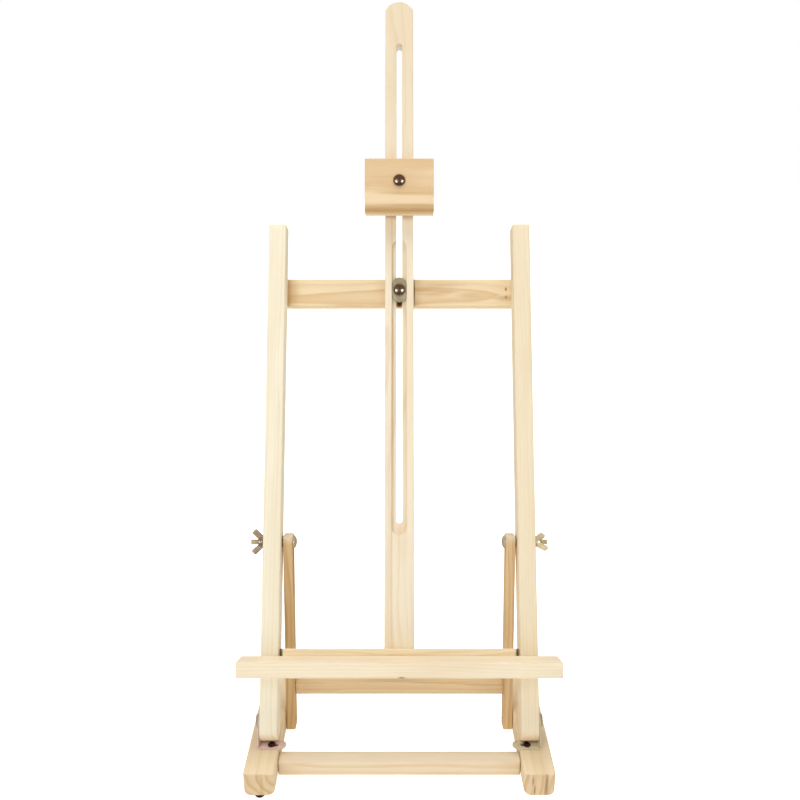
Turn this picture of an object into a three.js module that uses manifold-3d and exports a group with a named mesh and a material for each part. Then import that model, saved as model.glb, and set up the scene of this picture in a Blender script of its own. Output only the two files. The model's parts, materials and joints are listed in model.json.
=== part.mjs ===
// Tabletop H-frame artist easel in pine, with steel bolts, wing nuts and hinge plates.
// Millimetres, +Z up, the front faces -Y. The origin is on the table, under the middle of the
// bounding box. The two uprights, the mast and their rails lean back by LEAN about the hinge line.
import * as THREE from "three";
import { mergeVertices } from "three/addons/utils/BufferGeometryUtils.js";
import Module from "manifold-3d";

const wasm = await Module();
wasm.setup();

const DEG = Math.PI / 180;
const GAP = 0.3;                 // between pieces that meet inside a turned group
const ORIGIN_Y = 201.31;          // middle of the bounding box, behind the runners' front ends

// base
const GLIDE = { radius: 5.5, height: 4, leftY: 5.8, rightY: 12, rearY: 178 };
const RUNNER = { x: 136.5, width: 30.3, height: 25, length: 186 };
const RUNNER_EDGE = { low: 3.5, top: 1.5, plan: 5 };
const CROSSBAR = { frontY: 24.2, depth: 14.5, height: 17.4, bottomZ: 4 };
const REAR_BAR = { frontY: 171, depth: 14.5, height: 17.4, bottomZ: 4 };
const HINGE_Y = 50.3;
const HINGE_Z = 49;
const PLATE = { t: 1, frontY: 32.5, backY: 57, tabWidth: 10.5, tabEndX: 114, eyeRadius: 9 };

// leaning frame: y runs to the back, z runs up the lean, both from the hinge line
const LEAN = 26.13 * DEG;
const UPRIGHT = { x: 131.5, width: 18.5, depth: 21, top: 517.6, endDrop: 8.5 };
const TOP_RAIL = { length: 281.4, height: 30.6, depth: 13.4, z: 447 };
const MAST = { width: 31, thick: 14.2, bottom: 46, shoulder: 769.2, crown: 9.6 };
const SLOT = { width: 6.4, low: 197.3, high: 729 };
const RECESS = { width: 15.8, low: 186, high: 502, depth: 3 };
const GUIDE = { length: 236, height: 26, thick: 6.6, top: 72 };
const TONGUE = { length: 243.6, thick: 2.2 };
const SHELF = { length: 320, height: 15.9, depth: 27.9, top: 66.2 };
const CLAMP = { width: 74, height: 58.4, depth: 18, bottom: 528.6, boltZ: 562, edge: 2.5 };

// prop frame: y runs to the back, z runs up the strut, both from its lower pivot
const PROP_Y = 89.8;
const PROP_Z = 16.6;
const PROP_LEAN = 12.81 * DEG;
const STRUT = { x: 116, width: 10, depth: 15, foot: 9.5, top: 202.8 };
const STRUT_SLOT = { width: 7.6, low: 136, high: 199.3 };
const PROP_BAR = { height: 13.8, depth: 9.5, bottom: 29, setBack: 3 };
const SIDE_BOLT = { y: 4.7, z: 178.5, endX: 155 };

// hardware
const BOLT = { shank: 2.5, hole: 2.9, headRadius: 6.7, headHeight: 3.4, sides: 20 };
const WASHER = { radius: 6.5, thick: 1.2, sides: 24 };
const WING = { hubRadius: 5.4, hubHeight: 4.6, bore: 2.8, span: 13, tip: 11.8, thick: 3.6 };
const SCREW = { headRadius: 4, headHeight: 2.2, shank: 1.8, hole: 2.1, sides: 16 };
const TAB_SCREW = { x: 128.5, y: 37.4, headRadius: 3.8, headHeight: 2, length: 12 };
const HINGE_SCREW = { headRadius: 7.2, headHeight: 3, length: 16.5 };
const SLOT_PLATE = { width: 15, length: 27.6, thick: 1.5 };
const SCREW_LENGTH = { bar: 38, rail: 24, mast: 17, shelf: 21, propBar: 26 };
const RAIL_SCREW_OFFSETS = { low: -8, high: 8 };
const NUT_TURN = { left: 0, right: -54 * DEG, mast: 25 * DEG, clamp: 70 * DEG };
const PIVOT = { headRadius: 5.5, headHeight: 2.6, shank: 2.2, hole: 2.5, tipX: 110.5 };

const PINE = {
  upright: { color: 0xe9dcc0, roughness: 0.55, metalness: 0 },
  mast: { color: 0xe9d9b9, roughness: 0.55, metalness: 0 },
  rail: { color: 0xdcbf8f, roughness: 0.55, metalness: 0 },
  shelf: { color: 0xe6d2aa, roughness: 0.55, metalness: 0 },
  base: { color: 0xe0c796, roughness: 0.55, metalness: 0 },
  prop: { color: 0xc9a06a, roughness: 0.6, metalness: 0 },
  block: { color: 0xdfbd8a, roughness: 0.55, metalness: 0 },
};
const STEEL = { color: 0x8e887c, roughness: 0.3, metalness: 1 };
const DARK_STEEL = { color: 0x4a3b33, roughness: 0.35, metalness: 1 };
const RUBBER = { color: 0x241c19, roughness: 0.7, metalness: 0 };

// ---- solids -------------------------------------------------------------------------------

function solidOf(geometry) {
  const plain = geometry.clone();
  plain.deleteAttribute("normal");
  plain.deleteAttribute("uv");
  const merged = mergeVertices(plain, 1e-4);
  const mesh = new wasm.Mesh({
    numProp: 3,
    vertProperties: new Float32Array(merged.attributes.position.array),
    triVerts: new Uint32Array(merged.index.array),
  });
  return new wasm.Manifold(mesh);
}

function geometryOf(solid) {
  const mesh = solid.getMesh();
  const geometry = new THREE.BufferGeometry();
  geometry.setAttribute("position", new THREE.BufferAttribute(mesh.vertProperties, 3));
  geometry.setIndex(new THREE.BufferAttribute(mesh.triVerts, 1));
  geometry.computeVertexNormals();
  return geometry;
}

function cut(geometry, tools) {
  let solid = solidOf(geometry);
  for (const tool of tools) {
    solid = solid.subtract(solidOf(tool));
  }
  return geometryOf(solid);
}

function common(first, second) {
  return geometryOf(solidOf(first).intersect(solidOf(second)));
}

function join(pieces) {
  let solid = solidOf(pieces[0]);
  for (const piece of pieces.slice(1)) {
    solid = solid.add(solidOf(piece));
  }
  return geometryOf(solid);
}

function extrude(shape, depth, curveSegments = 6) {
  return new THREE.ExtrudeGeometry(shape, { depth, bevelEnabled: false, curveSegments });
}

// A shape drawn in (x, z), made thick along y from `front` to the back.
function frontPlate(shape, front, thick, curveSegments) {
  const geometry = extrude(shape, thick, curveSegments);
  const X = new THREE.Vector3(1, 0, 0);
  const Y = new THREE.Vector3(0, -1, 0);
  const Z = new THREE.Vector3(0, 0, 1);
  geometry.applyMatrix4(new THREE.Matrix4().makeBasis(X, Z, Y));
  return geometry.translate(0, front + thick, 0);
}

// A shape drawn in (y, z), made thick along x from `left` to the right.
function sidePlate(shape, left, thick, curveSegments) {
  const geometry = extrude(shape, thick, curveSegments);
  const X = new THREE.Vector3(1, 0, 0);
  const Y = new THREE.Vector3(0, 1, 0);
  const Z = new THREE.Vector3(0, 0, 1);
  geometry.applyMatrix4(new THREE.Matrix4().makeBasis(Y, Z, X));
  return geometry.translate(left, 0, 0);
}

// A rectangle with round corners between two opposite corners.
function roundedRect(u0, v0, u1, v1, lowRadius, highRadius = lowRadius) {
  const shape = new THREE.Shape();
  shape.moveTo(u0 + lowRadius, v0);
  shape.lineTo(u1 - lowRadius, v0);
  shape.absarc(u1 - lowRadius, v0 + lowRadius, lowRadius, -Math.PI / 2, 0);
  shape.lineTo(u1, v1 - highRadius);
  shape.absarc(u1 - highRadius, v1 - highRadius, highRadius, 0, Math.PI / 2);
  shape.lineTo(u0 + highRadius, v1);
  shape.absarc(u0 + highRadius, v1 - highRadius, highRadius, Math.PI / 2, Math.PI);
  shape.lineTo(u0, v0 + lowRadius);
  shape.absarc(u0 + lowRadius, v0 + lowRadius, lowRadius, Math.PI, 1.5 * Math.PI);
  return shape;
}

// A slot with round ends, upright in the drawing.
function obround(u, low, high, width) {
  const r = width / 2;
  const shape = new THREE.Shape();
  shape.moveTo(u - r, low + r);
  shape.absarc(u, low + r, r, Math.PI, 2 * Math.PI);
  shape.lineTo(u + r, high - r);
  shape.absarc(u, high - r, r, 0, Math.PI);
  shape.closePath();
  return shape;
}

// A round rod along x, y or z through a point, centred on it.
function rod(axis, radius, length, x, y, z, sides = BOLT.sides) {
  const geometry = new THREE.CylinderGeometry(radius, radius, length, sides);
  if (axis === "x") {
    geometry.rotateZ(-Math.PI / 2);
  }
  if (axis === "z") {
    geometry.rotateX(Math.PI / 2);
  }
  return geometry.translate(x, y, z);
}

// A turned piece whose axis is +Y, aimed along a direction from a point.
function aim(geometry, direction, x, y, z) {
  const to = new THREE.Vector3(...direction);
  const turn = new THREE.Quaternion().setFromUnitVectors(new THREE.Vector3(0, 1, 0), to);
  geometry.applyQuaternion(turn);
  return geometry.translate(x, y, z);
}

// ---- hardware, each along +Y from the face it bears on ------------------------------------------

function domeHead(radius, height, steps = 5) {
  const points = [];
  for (let i = 0; i <= steps; i += 1) {
    const a = (i / steps) * (Math.PI / 2);
    points.push(new THREE.Vector2(radius * Math.sin(a), -height * Math.cos(a)));
  }
  points[0].x = 0;
  return points;
}

function carriageBolt(length) {
  const points = domeHead(BOLT.headRadius, BOLT.headHeight);
  points.push(new THREE.Vector2(BOLT.shank, 0));
  points.push(new THREE.Vector2(BOLT.shank, length - 0.6));
  points.push(new THREE.Vector2(BOLT.shank - 0.6, length));
  points.push(new THREE.Vector2(0, length));
  return new THREE.LatheGeometry(points, BOLT.sides);
}

function panScrew(headRadius, headHeight, shank, length) {
  const points = domeHead(headRadius, headHeight, 4);
  points.push(new THREE.Vector2(shank, 0));
  points.push(new THREE.Vector2(shank, length - shank));
  points.push(new THREE.Vector2(0, length));
  return new THREE.LatheGeometry(points, SCREW.sides);
}

// The flat of the head is flush with y = 0 and its cone runs into the wood.
function sunkScrew(length) {
  const points = [
    new THREE.Vector2(0, 0),
    new THREE.Vector2(SCREW.headRadius, 0),
    new THREE.Vector2(SCREW.shank, SCREW.headHeight),
    new THREE.Vector2(SCREW.shank, length - SCREW.shank),
    new THREE.Vector2(0, length),
  ];
  return new THREE.LatheGeometry(points, SCREW.sides);
}

// The hole for that screw, a gap larger all round and open at the face.
function sunkHole(length) {
  const points = [
    new THREE.Vector2(0, -1),
    new THREE.Vector2(SCREW.headRadius + GAP + 1, -1),
    new THREE.Vector2(SCREW.headRadius + GAP, 0),
    new THREE.Vector2(SCREW.hole, SCREW.headHeight),
    new THREE.Vector2(SCREW.hole, length + GAP),
    new THREE.Vector2(0, length + GAP),
  ];
  return new THREE.LatheGeometry(points, SCREW.sides);
}

function washer(radius, thick) {
  const points = [
    new THREE.Vector2(BOLT.hole, 0),
    new THREE.Vector2(radius, 0),
    new THREE.Vector2(radius, thick),
    new THREE.Vector2(BOLT.hole, thick),
    new THREE.Vector2(BOLT.hole, 0),
  ];
  return new THREE.LatheGeometry(points, WASHER.sides);
}

function wingNut() {
  const hub = new THREE.CylinderGeometry(WING.hubRadius * 0.8, WING.hubRadius, WING.hubHeight, 20);
  hub.translate(0, WING.hubHeight / 2, 0);
  const pieces = [hub];
  for (const side of [-1, 1]) {
    const wing = extrude(wingOutline(), WING.thick, 4);
    wing.translate(0, 0, -WING.thick / 2);
    wing.rotateY(side > 0 ? 0 : Math.PI);
    pieces.push(wing);
  }
  return cut(join(pieces), [rod("y", WING.bore, 40, 0, 0, 0)]);
}

// One wing: a blunt arm that leaves the hub low and rises outwards.
function wingOutline() {
  const shape = new THREE.Shape();
  shape.moveTo(WING.bore, 0.4);
  shape.lineTo(WING.hubRadius + 0.8, 0.4);
  shape.lineTo(WING.span - 0.4, WING.tip - 4.5);
  shape.quadraticCurveTo(WING.span, WING.tip - 3.7, WING.span - 0.7, WING.tip - 3);
  shape.lineTo(10, WING.tip - 0.5);
  shape.quadraticCurveTo(9.2, WING.tip, 8.4, WING.tip - 0.7);
  shape.lineTo(WING.bore, WING.hubHeight);
  shape.closePath();
  return shape;
}

// ---- wood ---------------------------------------------------------------------------------

function runner(side) {
  const half = RUNNER.width / 2;
  const outline = roundedRect(
    -half, GLIDE.height, half, GLIDE.height + RUNNER.height, RUNNER_EDGE.low, RUNNER_EDGE.top);
  const bar = frontPlate(outline, 0, RUNNER.length, 4);
  const plan = extrude(roundedRect(-half, 0, half, RUNNER.length, RUNNER_EDGE.plan), RUNNER.height, 5);
  plan.translate(0, 0, GLIDE.height);
  const body = common(bar, plan);
  body.translate(side * RUNNER.x, 0, 0);
  const faceX = side * (RUNNER.x + half);
  const tools = [];
  for (const [y, z] of barScrewSpots()) {
    tools.push(aim(sunkHole(SCREW_LENGTH.bar), [-side, 0, 0], faceX, y, z));
  }
  tools.push(rod("x", PIVOT.hole, RUNNER.width + 20, side * RUNNER.x, PROP_Y, PROP_Z));
  const plateTop = GLIDE.height + RUNNER.height;
  tools.push(rod("z", SCREW.hole, 26, side * TAB_SCREW.x, TAB_SCREW.y, plateTop));
  return cut(body, tools);
}

function barScrewSpots() {
  return [
    [CROSSBAR.frontY + CROSSBAR.depth / 2, CROSSBAR.bottomZ + CROSSBAR.height / 2],
    [REAR_BAR.frontY + REAR_BAR.depth / 2, REAR_BAR.bottomZ + REAR_BAR.height / 2],
  ];
}

function baseBar(bar) {
  const outline = roundedRect(
    bar.frontY, bar.bottomZ, bar.frontY + bar.depth, bar.bottomZ + bar.height, 1.5);
  const reach = RUNNER.x - RUNNER.width / 2 - GAP;
  const body = sidePlate(outline, -reach, 2 * reach, 3);
  const y = bar.frontY + bar.depth / 2;
  const z = bar.bottomZ + bar.height / 2;
  const tools = [-1, 1].map((side) => rod("x", SCREW.hole, 24, side * reach, y, z));
  return cut(body, tools);
}

function upright(side) {
  const half = UPRIGHT.depth / 2;
  const shape = new THREE.Shape();
  shape.moveTo(-half, -UPRIGHT.endDrop);
  shape.absarc(0, -UPRIGHT.endDrop, half, Math.PI, 2 * Math.PI);
  shape.lineTo(half, UPRIGHT.top - 1);
  shape.lineTo(half - 1, UPRIGHT.top);
  shape.lineTo(-half + 1, UPRIGHT.top);
  shape.lineTo(-half, UPRIGHT.top - 1);
  shape.closePath();
  const body = sidePlate(shape, side * UPRIGHT.x - UPRIGHT.width / 2, UPRIGHT.width, 8);
  const outerX = side * (UPRIGHT.x + UPRIGHT.width / 2);
  const tools = [
    rod("x", BOLT.hole, UPRIGHT.width + 6, side * UPRIGHT.x, SIDE_BOLT.y, SIDE_BOLT.z),
    rod("x", BOLT.hole, 30, outerX, 0, 0),
  ];
  for (const dz of Object.values(RAIL_SCREW_OFFSETS)) {
    tools.push(rod("y", SCREW.hole, SCREW_LENGTH.rail, side * UPRIGHT.x, half, TOP_RAIL.z + dz));
  }
  return cut(body, tools);
}

const RAIL_FRONT = UPRIGHT.depth / 2 + GAP;
const RAIL_BACK = RAIL_FRONT + TOP_RAIL.depth;

function topRail() {
  const low = TOP_RAIL.z - TOP_RAIL.height / 2;
  const outline = roundedRect(RAIL_FRONT, low, RAIL_BACK, low + TOP_RAIL.height, 1.5);
  const body = sidePlate(outline, -TOP_RAIL.length / 2, TOP_RAIL.length, 3);
  const tools = [rod("y", BOLT.hole, 40, 0, RAIL_FRONT, TOP_RAIL.z)];
  for (const side of [-1, 1]) {
    for (const dz of Object.values(RAIL_SCREW_OFFSETS)) {
      const hole = sunkHole(SCREW_LENGTH.rail);
      tools.push(aim(hole, [0, -1, 0], side * UPRIGHT.x, RAIL_BACK, TOP_RAIL.z + dz));
    }
  }
  return cut(body, tools);
}

const MAST_BACK = UPRIGHT.depth / 2 - 0.1;
const MAST_FRONT = MAST_BACK - MAST.thick;

function mast() {
  const half = MAST.width / 2;
  const radius = (half * half + MAST.crown * MAST.crown) / (2 * MAST.crown);
  const sweep = Math.asin(half / radius);
  const shape = new THREE.Shape();
  shape.moveTo(-half, MAST.bottom);
  shape.lineTo(half, MAST.bottom);
  shape.lineTo(half, MAST.shoulder);
  const centre = MAST.shoulder + MAST.crown - radius;
  shape.absarc(0, centre, radius, Math.PI / 2 - sweep, Math.PI / 2 + sweep);
  shape.closePath();
  const body = frontPlate(shape, MAST_FRONT, MAST.thick, 12);
  const slot = frontPlate(obround(0, SLOT.low, SLOT.high, SLOT.width), MAST_FRONT - 5, 30, 8);
  const recess = obround(0, RECESS.low, RECESS.high, RECESS.width);
  const groove = frontPlate(recess, MAST_FRONT - 5, 5 + RECESS.depth, 8);
  const tools = [slot, groove];
  for (const [x, z] of FOOT_SCREWS) {
    tools.push(aim(sunkHole(SCREW_LENGTH.mast), [0, -1, 0], x, MAST_BACK, z));
  }
  return cut(body, tools);
}

// The mast's lower end reaches down behind the guide rail, where two screws hold it.
const FOOT_SCREWS = [[-8, 54], [8, 64]];
const GUIDE_FRONT = -UPRIGHT.depth / 2 - 0.2;
const GUIDE_BACK = GUIDE_FRONT + GUIDE.thick;

// Thin tongues at its ends close the space beside the uprights.
function guideRail() {
  const low = GUIDE.top - GUIDE.height;
  const outline = roundedRect(GUIDE_FRONT, low, GUIDE_BACK, GUIDE.top, 1);
  const rail = sidePlate(outline, -GUIDE.length / 2, GUIDE.length, 3);
  const backing = roundedRect(GUIDE_BACK - TONGUE.thick, low, GUIDE_BACK, GUIDE.top, 1);
  const body = join([rail, sidePlate(backing, -TONGUE.length / 2, TONGUE.length, 3)]);
  const tools = FOOT_SCREWS.map(([x, z]) => rod("y", SCREW.hole, 8, x, GUIDE_BACK, z));
  for (const x of SHELF_SCREWS_X) {
    tools.push(aim(sunkHole(SCREW_LENGTH.shelf), [0, -1, 0], x, GUIDE_BACK, SHELF_SCREW_Z));
  }
  return cut(body, tools);
}

const SHELF_SCREWS_X = [-80, 80];
const SHELF_SCREW_Z = SHELF.top - SHELF.height / 2;
const SHELF_BACK = GUIDE_FRONT - GAP;

function shelfBar() {
  const low = SHELF.top - SHELF.height;
  const outline = roundedRect(SHELF_BACK - SHELF.depth, low, SHELF_BACK, SHELF.top, 2.5, 1);
  const body = sidePlate(outline, -SHELF.length / 2, SHELF.length, 4);
  const tools = SHELF_SCREWS_X.map((x) => rod("y", SCREW.hole, 32, x, SHELF_BACK, SHELF_SCREW_Z));
  return cut(body, tools);
}

function clampBlock() {
  const front = MAST_FRONT - GAP - CLAMP.depth;
  const top = CLAMP.bottom + CLAMP.height;
  const r = CLAMP.edge;
  const shape = new THREE.Shape();
  shape.moveTo(front + r, CLAMP.bottom);
  shape.lineTo(front + CLAMP.depth, CLAMP.bottom);
  shape.lineTo(front + CLAMP.depth, top);
  shape.lineTo(front + r, top);
  shape.absarc(front + r, top - r, r, Math.PI / 2, Math.PI);
  shape.lineTo(front, CLAMP.bottom + r);
  shape.absarc(front + r, CLAMP.bottom + r, r, Math.PI, 1.5 * Math.PI);
  const body = sidePlate(shape, -CLAMP.width / 2, CLAMP.width, 5);
  return cut(body, [rod("y", BOLT.hole, 60, 0, front, CLAMP.boltZ)]);
}

function strut(side) {
  const half = STRUT.depth / 2;
  const outline = roundedRect(-half, -STRUT.foot, half, STRUT.top, 2);
  const body = sidePlate(outline, side * STRUT.x - STRUT.width / 2, STRUT.width, 3);
  const slotShape = obround(0, STRUT_SLOT.low, STRUT_SLOT.high, STRUT_SLOT.width);
  const outerX = side * (STRUT.x + STRUT.width / 2);
  const innerX = side * (STRUT.x - STRUT.width / 2);
  const barY = -half + PROP_BAR.setBack + PROP_BAR.depth / 2;
  const barZ = PROP_BAR.bottom + PROP_BAR.height / 2;
  const tools = [
    sidePlate(slotShape, side * STRUT.x - STRUT.width, 2 * STRUT.width, 8),
    rod("x", PIVOT.hole, 2 * STRUT.width, side * STRUT.x, 0, 0),
    rod("x", SCREW.hole, 2 * STRUT.width + 2, innerX, barY, barZ),
    aim(sunkHole(8), [-side, 0, 0], outerX, barY, barZ),
  ];
  return cut(body, tools);
}

function propBar() {
  const front = -STRUT.depth / 2 + PROP_BAR.setBack;
  const low = PROP_BAR.bottom;
  const outline = roundedRect(front, low, front + PROP_BAR.depth, low + PROP_BAR.height, 1);
  const reach = STRUT.x - STRUT.width / 2 - GAP;
  const body = sidePlate(outline, -reach, 2 * reach, 3);
  const y = front + PROP_BAR.depth / 2;
  const z = low + PROP_BAR.height / 2;
  return cut(body, [-1, 1].map((side) => rod("x", SCREW.hole, 38, side * reach, y, z)));
}

// ---- metal fittings -------------------------------------------------------------------------

const PLATE_Z = GLIDE.height + RUNNER.height + GAP;

// A pressed steel hinge plate: an eye outside the upright and a tab across the runner.
function hingePlate(side) {
  const cheekX = UPRIGHT.x + UPRIGHT.width / 2 + GAP;
  const eye = new THREE.Shape();
  eye.moveTo(PLATE.frontY, PLATE_Z);
  eye.lineTo(PLATE.backY, PLATE_Z);
  eye.lineTo(HINGE_Y + PLATE.eyeRadius, HINGE_Z - 2);
  eye.lineTo(HINGE_Y + PLATE.eyeRadius, HINGE_Z);
  eye.absarc(HINGE_Y, HINGE_Z, PLATE.eyeRadius, 0, Math.PI * 0.9);
  eye.lineTo(PLATE.frontY, PLATE_Z + 6);
  eye.closePath();
  const cheek = sidePlate(eye, cheekX, PLATE.t, 12);
  const r = PLATE.tabWidth / 2;
  const tabShape = new THREE.Shape();
  tabShape.moveTo(cheekX + PLATE.t, PLATE.frontY);
  tabShape.lineTo(cheekX + PLATE.t, PLATE.frontY + PLATE.tabWidth);
  tabShape.lineTo(PLATE.tabEndX + r, PLATE.frontY + PLATE.tabWidth);
  tabShape.absarc(PLATE.tabEndX + r, PLATE.frontY + r, r, Math.PI / 2, 1.5 * Math.PI);
  tabShape.closePath();
  const tab = extrude(tabShape, PLATE.t, 8);
  tab.translate(0, 0, PLATE_Z);
  const tools = [
    rod("x", BOLT.hole, 20, cheekX, HINGE_Y, HINGE_Z),
    rod("z", SCREW.hole, 10, TAB_SCREW.x, TAB_SCREW.y, PLATE_Z),
  ];
  const plate = cut(join([cheek, tab]), tools);
  if (side < 0) {
    return mirrored(plate);
  }
  return plate;
}

function mirrored(geometry) {
  const flipped = geometry.clone().scale(-1, 1, 1);
  const index = flipped.index.array;
  for (let i = 0; i < index.length; i += 3) {
    const first = index[i];
    index[i] = index[i + 1];
    index[i + 1] = first;
  }
  flipped.computeVertexNormals();
  return flipped;
}

// The long washer that bridges the mast's slot inside the recess.
function slotPlate() {
  const y = MAST_FRONT + RECESS.depth - GAP - SLOT_PLATE.thick;
  const low = TOP_RAIL.z - SLOT_PLATE.length / 2;
  const shape = obround(0, low, low + SLOT_PLATE.length, SLOT_PLATE.width);
  const body = frontPlate(shape, y, SLOT_PLATE.thick, 8);
  return cut(body, [rod("y", BOLT.hole, 20, 0, y, TOP_RAIL.z)]);
}

const PLATE_FRONT = MAST_FRONT + RECESS.depth - GAP - SLOT_PLATE.thick;

// ---- assembly -------------------------------------------------------------------------------

function add(group, name, geometry, look) {
  const mesh = new THREE.Mesh(geometry, new THREE.MeshStandardMaterial(look));
  mesh.name = name;
  group.add(mesh);
}

function sideName(side) {
  return side < 0 ? "left" : "right";
}

function buildBase() {
  const group = new THREE.Group();
  for (const side of [-1, 1]) {
    const tag = sideName(side);
    const outerX = side * (RUNNER.x + RUNNER.width / 2);
    add(group, `runner_${tag}`, runner(side), PINE.base);
    add(group, `hinge_plate_${tag}`, hingePlate(side), STEEL);
    const tabScrew = panScrew(
      TAB_SCREW.headRadius, TAB_SCREW.headHeight, SCREW.shank, TAB_SCREW.length);
    const tabTop = PLATE_Z + PLATE.t + GAP;
    aim(tabScrew, [0, 0, -1], side * TAB_SCREW.x, TAB_SCREW.y, tabTop);
    add(group, `hinge_plate_screw_${tag}`, tabScrew, DARK_STEEL);
    const barNames = ["front", "rear"];
    for (const [index, [y, z]] of barScrewSpots().entries()) {
      const screw = aim(sunkScrew(SCREW_LENGTH.bar), [-side, 0, 0], outerX, y, z);
      add(group, `${barNames[index]}_bar_screw_${tag}`, screw, STEEL);
    }
    const frontY = side < 0 ? GLIDE.leftY : GLIDE.rightY;
    for (const [where, y] of [["front", frontY], ["rear", GLIDE.rearY]]) {
      const glide = rod("z", GLIDE.radius, GLIDE.height, side * RUNNER.x, y, GLIDE.height / 2);
      add(group, `glide_${where}_${tag}`, glide, RUBBER);
    }
  }
  add(group, "base_front_bar", baseBar(CROSSBAR), PINE.base);
  add(group, "base_rear_bar", baseBar(REAR_BAR), PINE.base);
  return group;
}

function buildFrame() {
  const group = new THREE.Group();
  group.position.set(0, HINGE_Y, HINGE_Z);
  group.rotation.x = -LEAN;
  for (const side of [-1, 1]) {
    const tag = sideName(side);
    const cheekX = side * (UPRIGHT.x + UPRIGHT.width / 2 + PLATE.t + 2 * GAP);
    add(group, `upright_${tag}`, upright(side), PINE.upright);
    const pivot = panScrew(
      HINGE_SCREW.headRadius, HINGE_SCREW.headHeight, BOLT.shank, HINGE_SCREW.length);
    add(group, `hinge_screw_${tag}`, aim(pivot, [-side, 0, 0], cheekX, 0, 0), STEEL);
    for (const [where, dz] of Object.entries(RAIL_SCREW_OFFSETS)) {
      const screw = sunkScrew(SCREW_LENGTH.rail);
      aim(screw, [0, -1, 0], side * UPRIGHT.x, RAIL_BACK, TOP_RAIL.z + dz);
      add(group, `rail_screw_${where}_${tag}`, screw, STEEL);
    }
    addSideClamp(group, side, tag);
  }
  add(group, "top_rail", topRail(), PINE.rail);
  add(group, "mast_slot_plate", slotPlate(), STEEL);
  const bolt = carriageBolt(RAIL_BACK - PLATE_FRONT + 16);
  add(group, "mast_bolt", aim(bolt, [0, 1, 0], 0, PLATE_FRONT - GAP, TOP_RAIL.z), STEEL);
  const ring = washer(WASHER.radius, WASHER.thick);
  add(group, "mast_washer", aim(ring, [0, 1, 0], 0, RAIL_BACK + GAP, TOP_RAIL.z), STEEL);
  const nutY = RAIL_BACK + 2 * GAP + WASHER.thick;
  addWingNut(group, "mast_wing_nut", [0, 1, 0], [0, nutY, TOP_RAIL.z], NUT_TURN.mast);
  group.add(buildCarriage());
  return group;
}

// The bolt from the strut's inner face, through the strut's slot and the upright, to its nut.
function addSideClamp(group, side, tag) {
  const headX = STRUT.x - STRUT.width / 2 - GAP;
  const bolt = carriageBolt(SIDE_BOLT.endX - headX);
  aim(bolt, [side, 0, 0], side * headX, SIDE_BOLT.y, SIDE_BOLT.z);
  add(group, `prop_bolt_${tag}`, bolt, STEEL);
  const innerX = STRUT.x + STRUT.width / 2 + GAP;
  const innerThick = UPRIGHT.x - UPRIGHT.width / 2 - GAP - innerX;
  const spacer = washer(WASHER.radius - 0.5, innerThick);
  aim(spacer, [side, 0, 0], side * innerX, SIDE_BOLT.y, SIDE_BOLT.z);
  add(group, `prop_spacer_${tag}`, spacer, STEEL);
  const outerX = UPRIGHT.x + UPRIGHT.width / 2 + GAP;
  const ring = washer(WASHER.radius, WASHER.thick);
  aim(ring, [side, 0, 0], side * outerX, SIDE_BOLT.y, SIDE_BOLT.z);
  add(group, `prop_washer_${tag}`, ring, STEEL);
  const nutX = side * (outerX + WASHER.thick + GAP);
  const nutPlace = [nutX, SIDE_BOLT.y, SIDE_BOLT.z];
  addWingNut(group, `prop_wing_nut_${tag}`, [side, 0, 0], nutPlace, NUT_TURN[tag]);
}

// `turn` is how far the wings stand from the plane that holds the bolt and the z axis.
function addWingNut(group, name, direction, place, turn) {
  const geometry = wingNut();
  geometry.rotateY(turn);
  const basis = new THREE.Matrix4();
  const along = new THREE.Vector3(...direction);
  const up = new THREE.Vector3(0, 0, 1);
  basis.makeBasis(up, along, new THREE.Vector3().crossVectors(up, along));
  geometry.applyMatrix4(basis);
  geometry.translate(...place);
  add(group, name, geometry, STEEL);
}

function buildCarriage() {
  const group = new THREE.Group();
  add(group, "mast", mast(), PINE.mast);
  add(group, "guide_rail", guideRail(), PINE.rail);
  add(group, "shelf_bar", shelfBar(), PINE.shelf);
  for (const [index, [x, z]] of FOOT_SCREWS.entries()) {
    const screw = aim(sunkScrew(SCREW_LENGTH.mast), [0, -1, 0], x, MAST_BACK, z);
    add(group, `mast_screw_${index + 1}`, screw, STEEL);
  }
  for (const [index, x] of SHELF_SCREWS_X.entries()) {
    const screw = aim(sunkScrew(SCREW_LENGTH.shelf), [0, -1, 0], x, GUIDE_BACK, SHELF_SCREW_Z);
    add(group, `shelf_screw_${index + 1}`, screw, STEEL);
  }
  group.add(buildClamp());
  return group;
}

function buildClamp() {
  const group = new THREE.Group();
  const front = MAST_FRONT - GAP - CLAMP.depth;
  add(group, "clamp_block", clampBlock(), PINE.block);
  const bolt = carriageBolt(MAST_BACK - front + 14);
  add(group, "clamp_bolt", aim(bolt, [0, 1, 0], 0, front - GAP, CLAMP.boltZ), STEEL);
  const ring = washer(WASHER.radius + 1, WASHER.thick);
  add(group, "clamp_washer", aim(ring, [0, 1, 0], 0, MAST_BACK + GAP, CLAMP.boltZ), STEEL);
  const nutY = MAST_BACK + 2 * GAP + WASHER.thick;
  addWingNut(group, "clamp_wing_nut", [0, 1, 0], [0, nutY, CLAMP.boltZ], NUT_TURN.clamp);
  return group;
}

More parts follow.
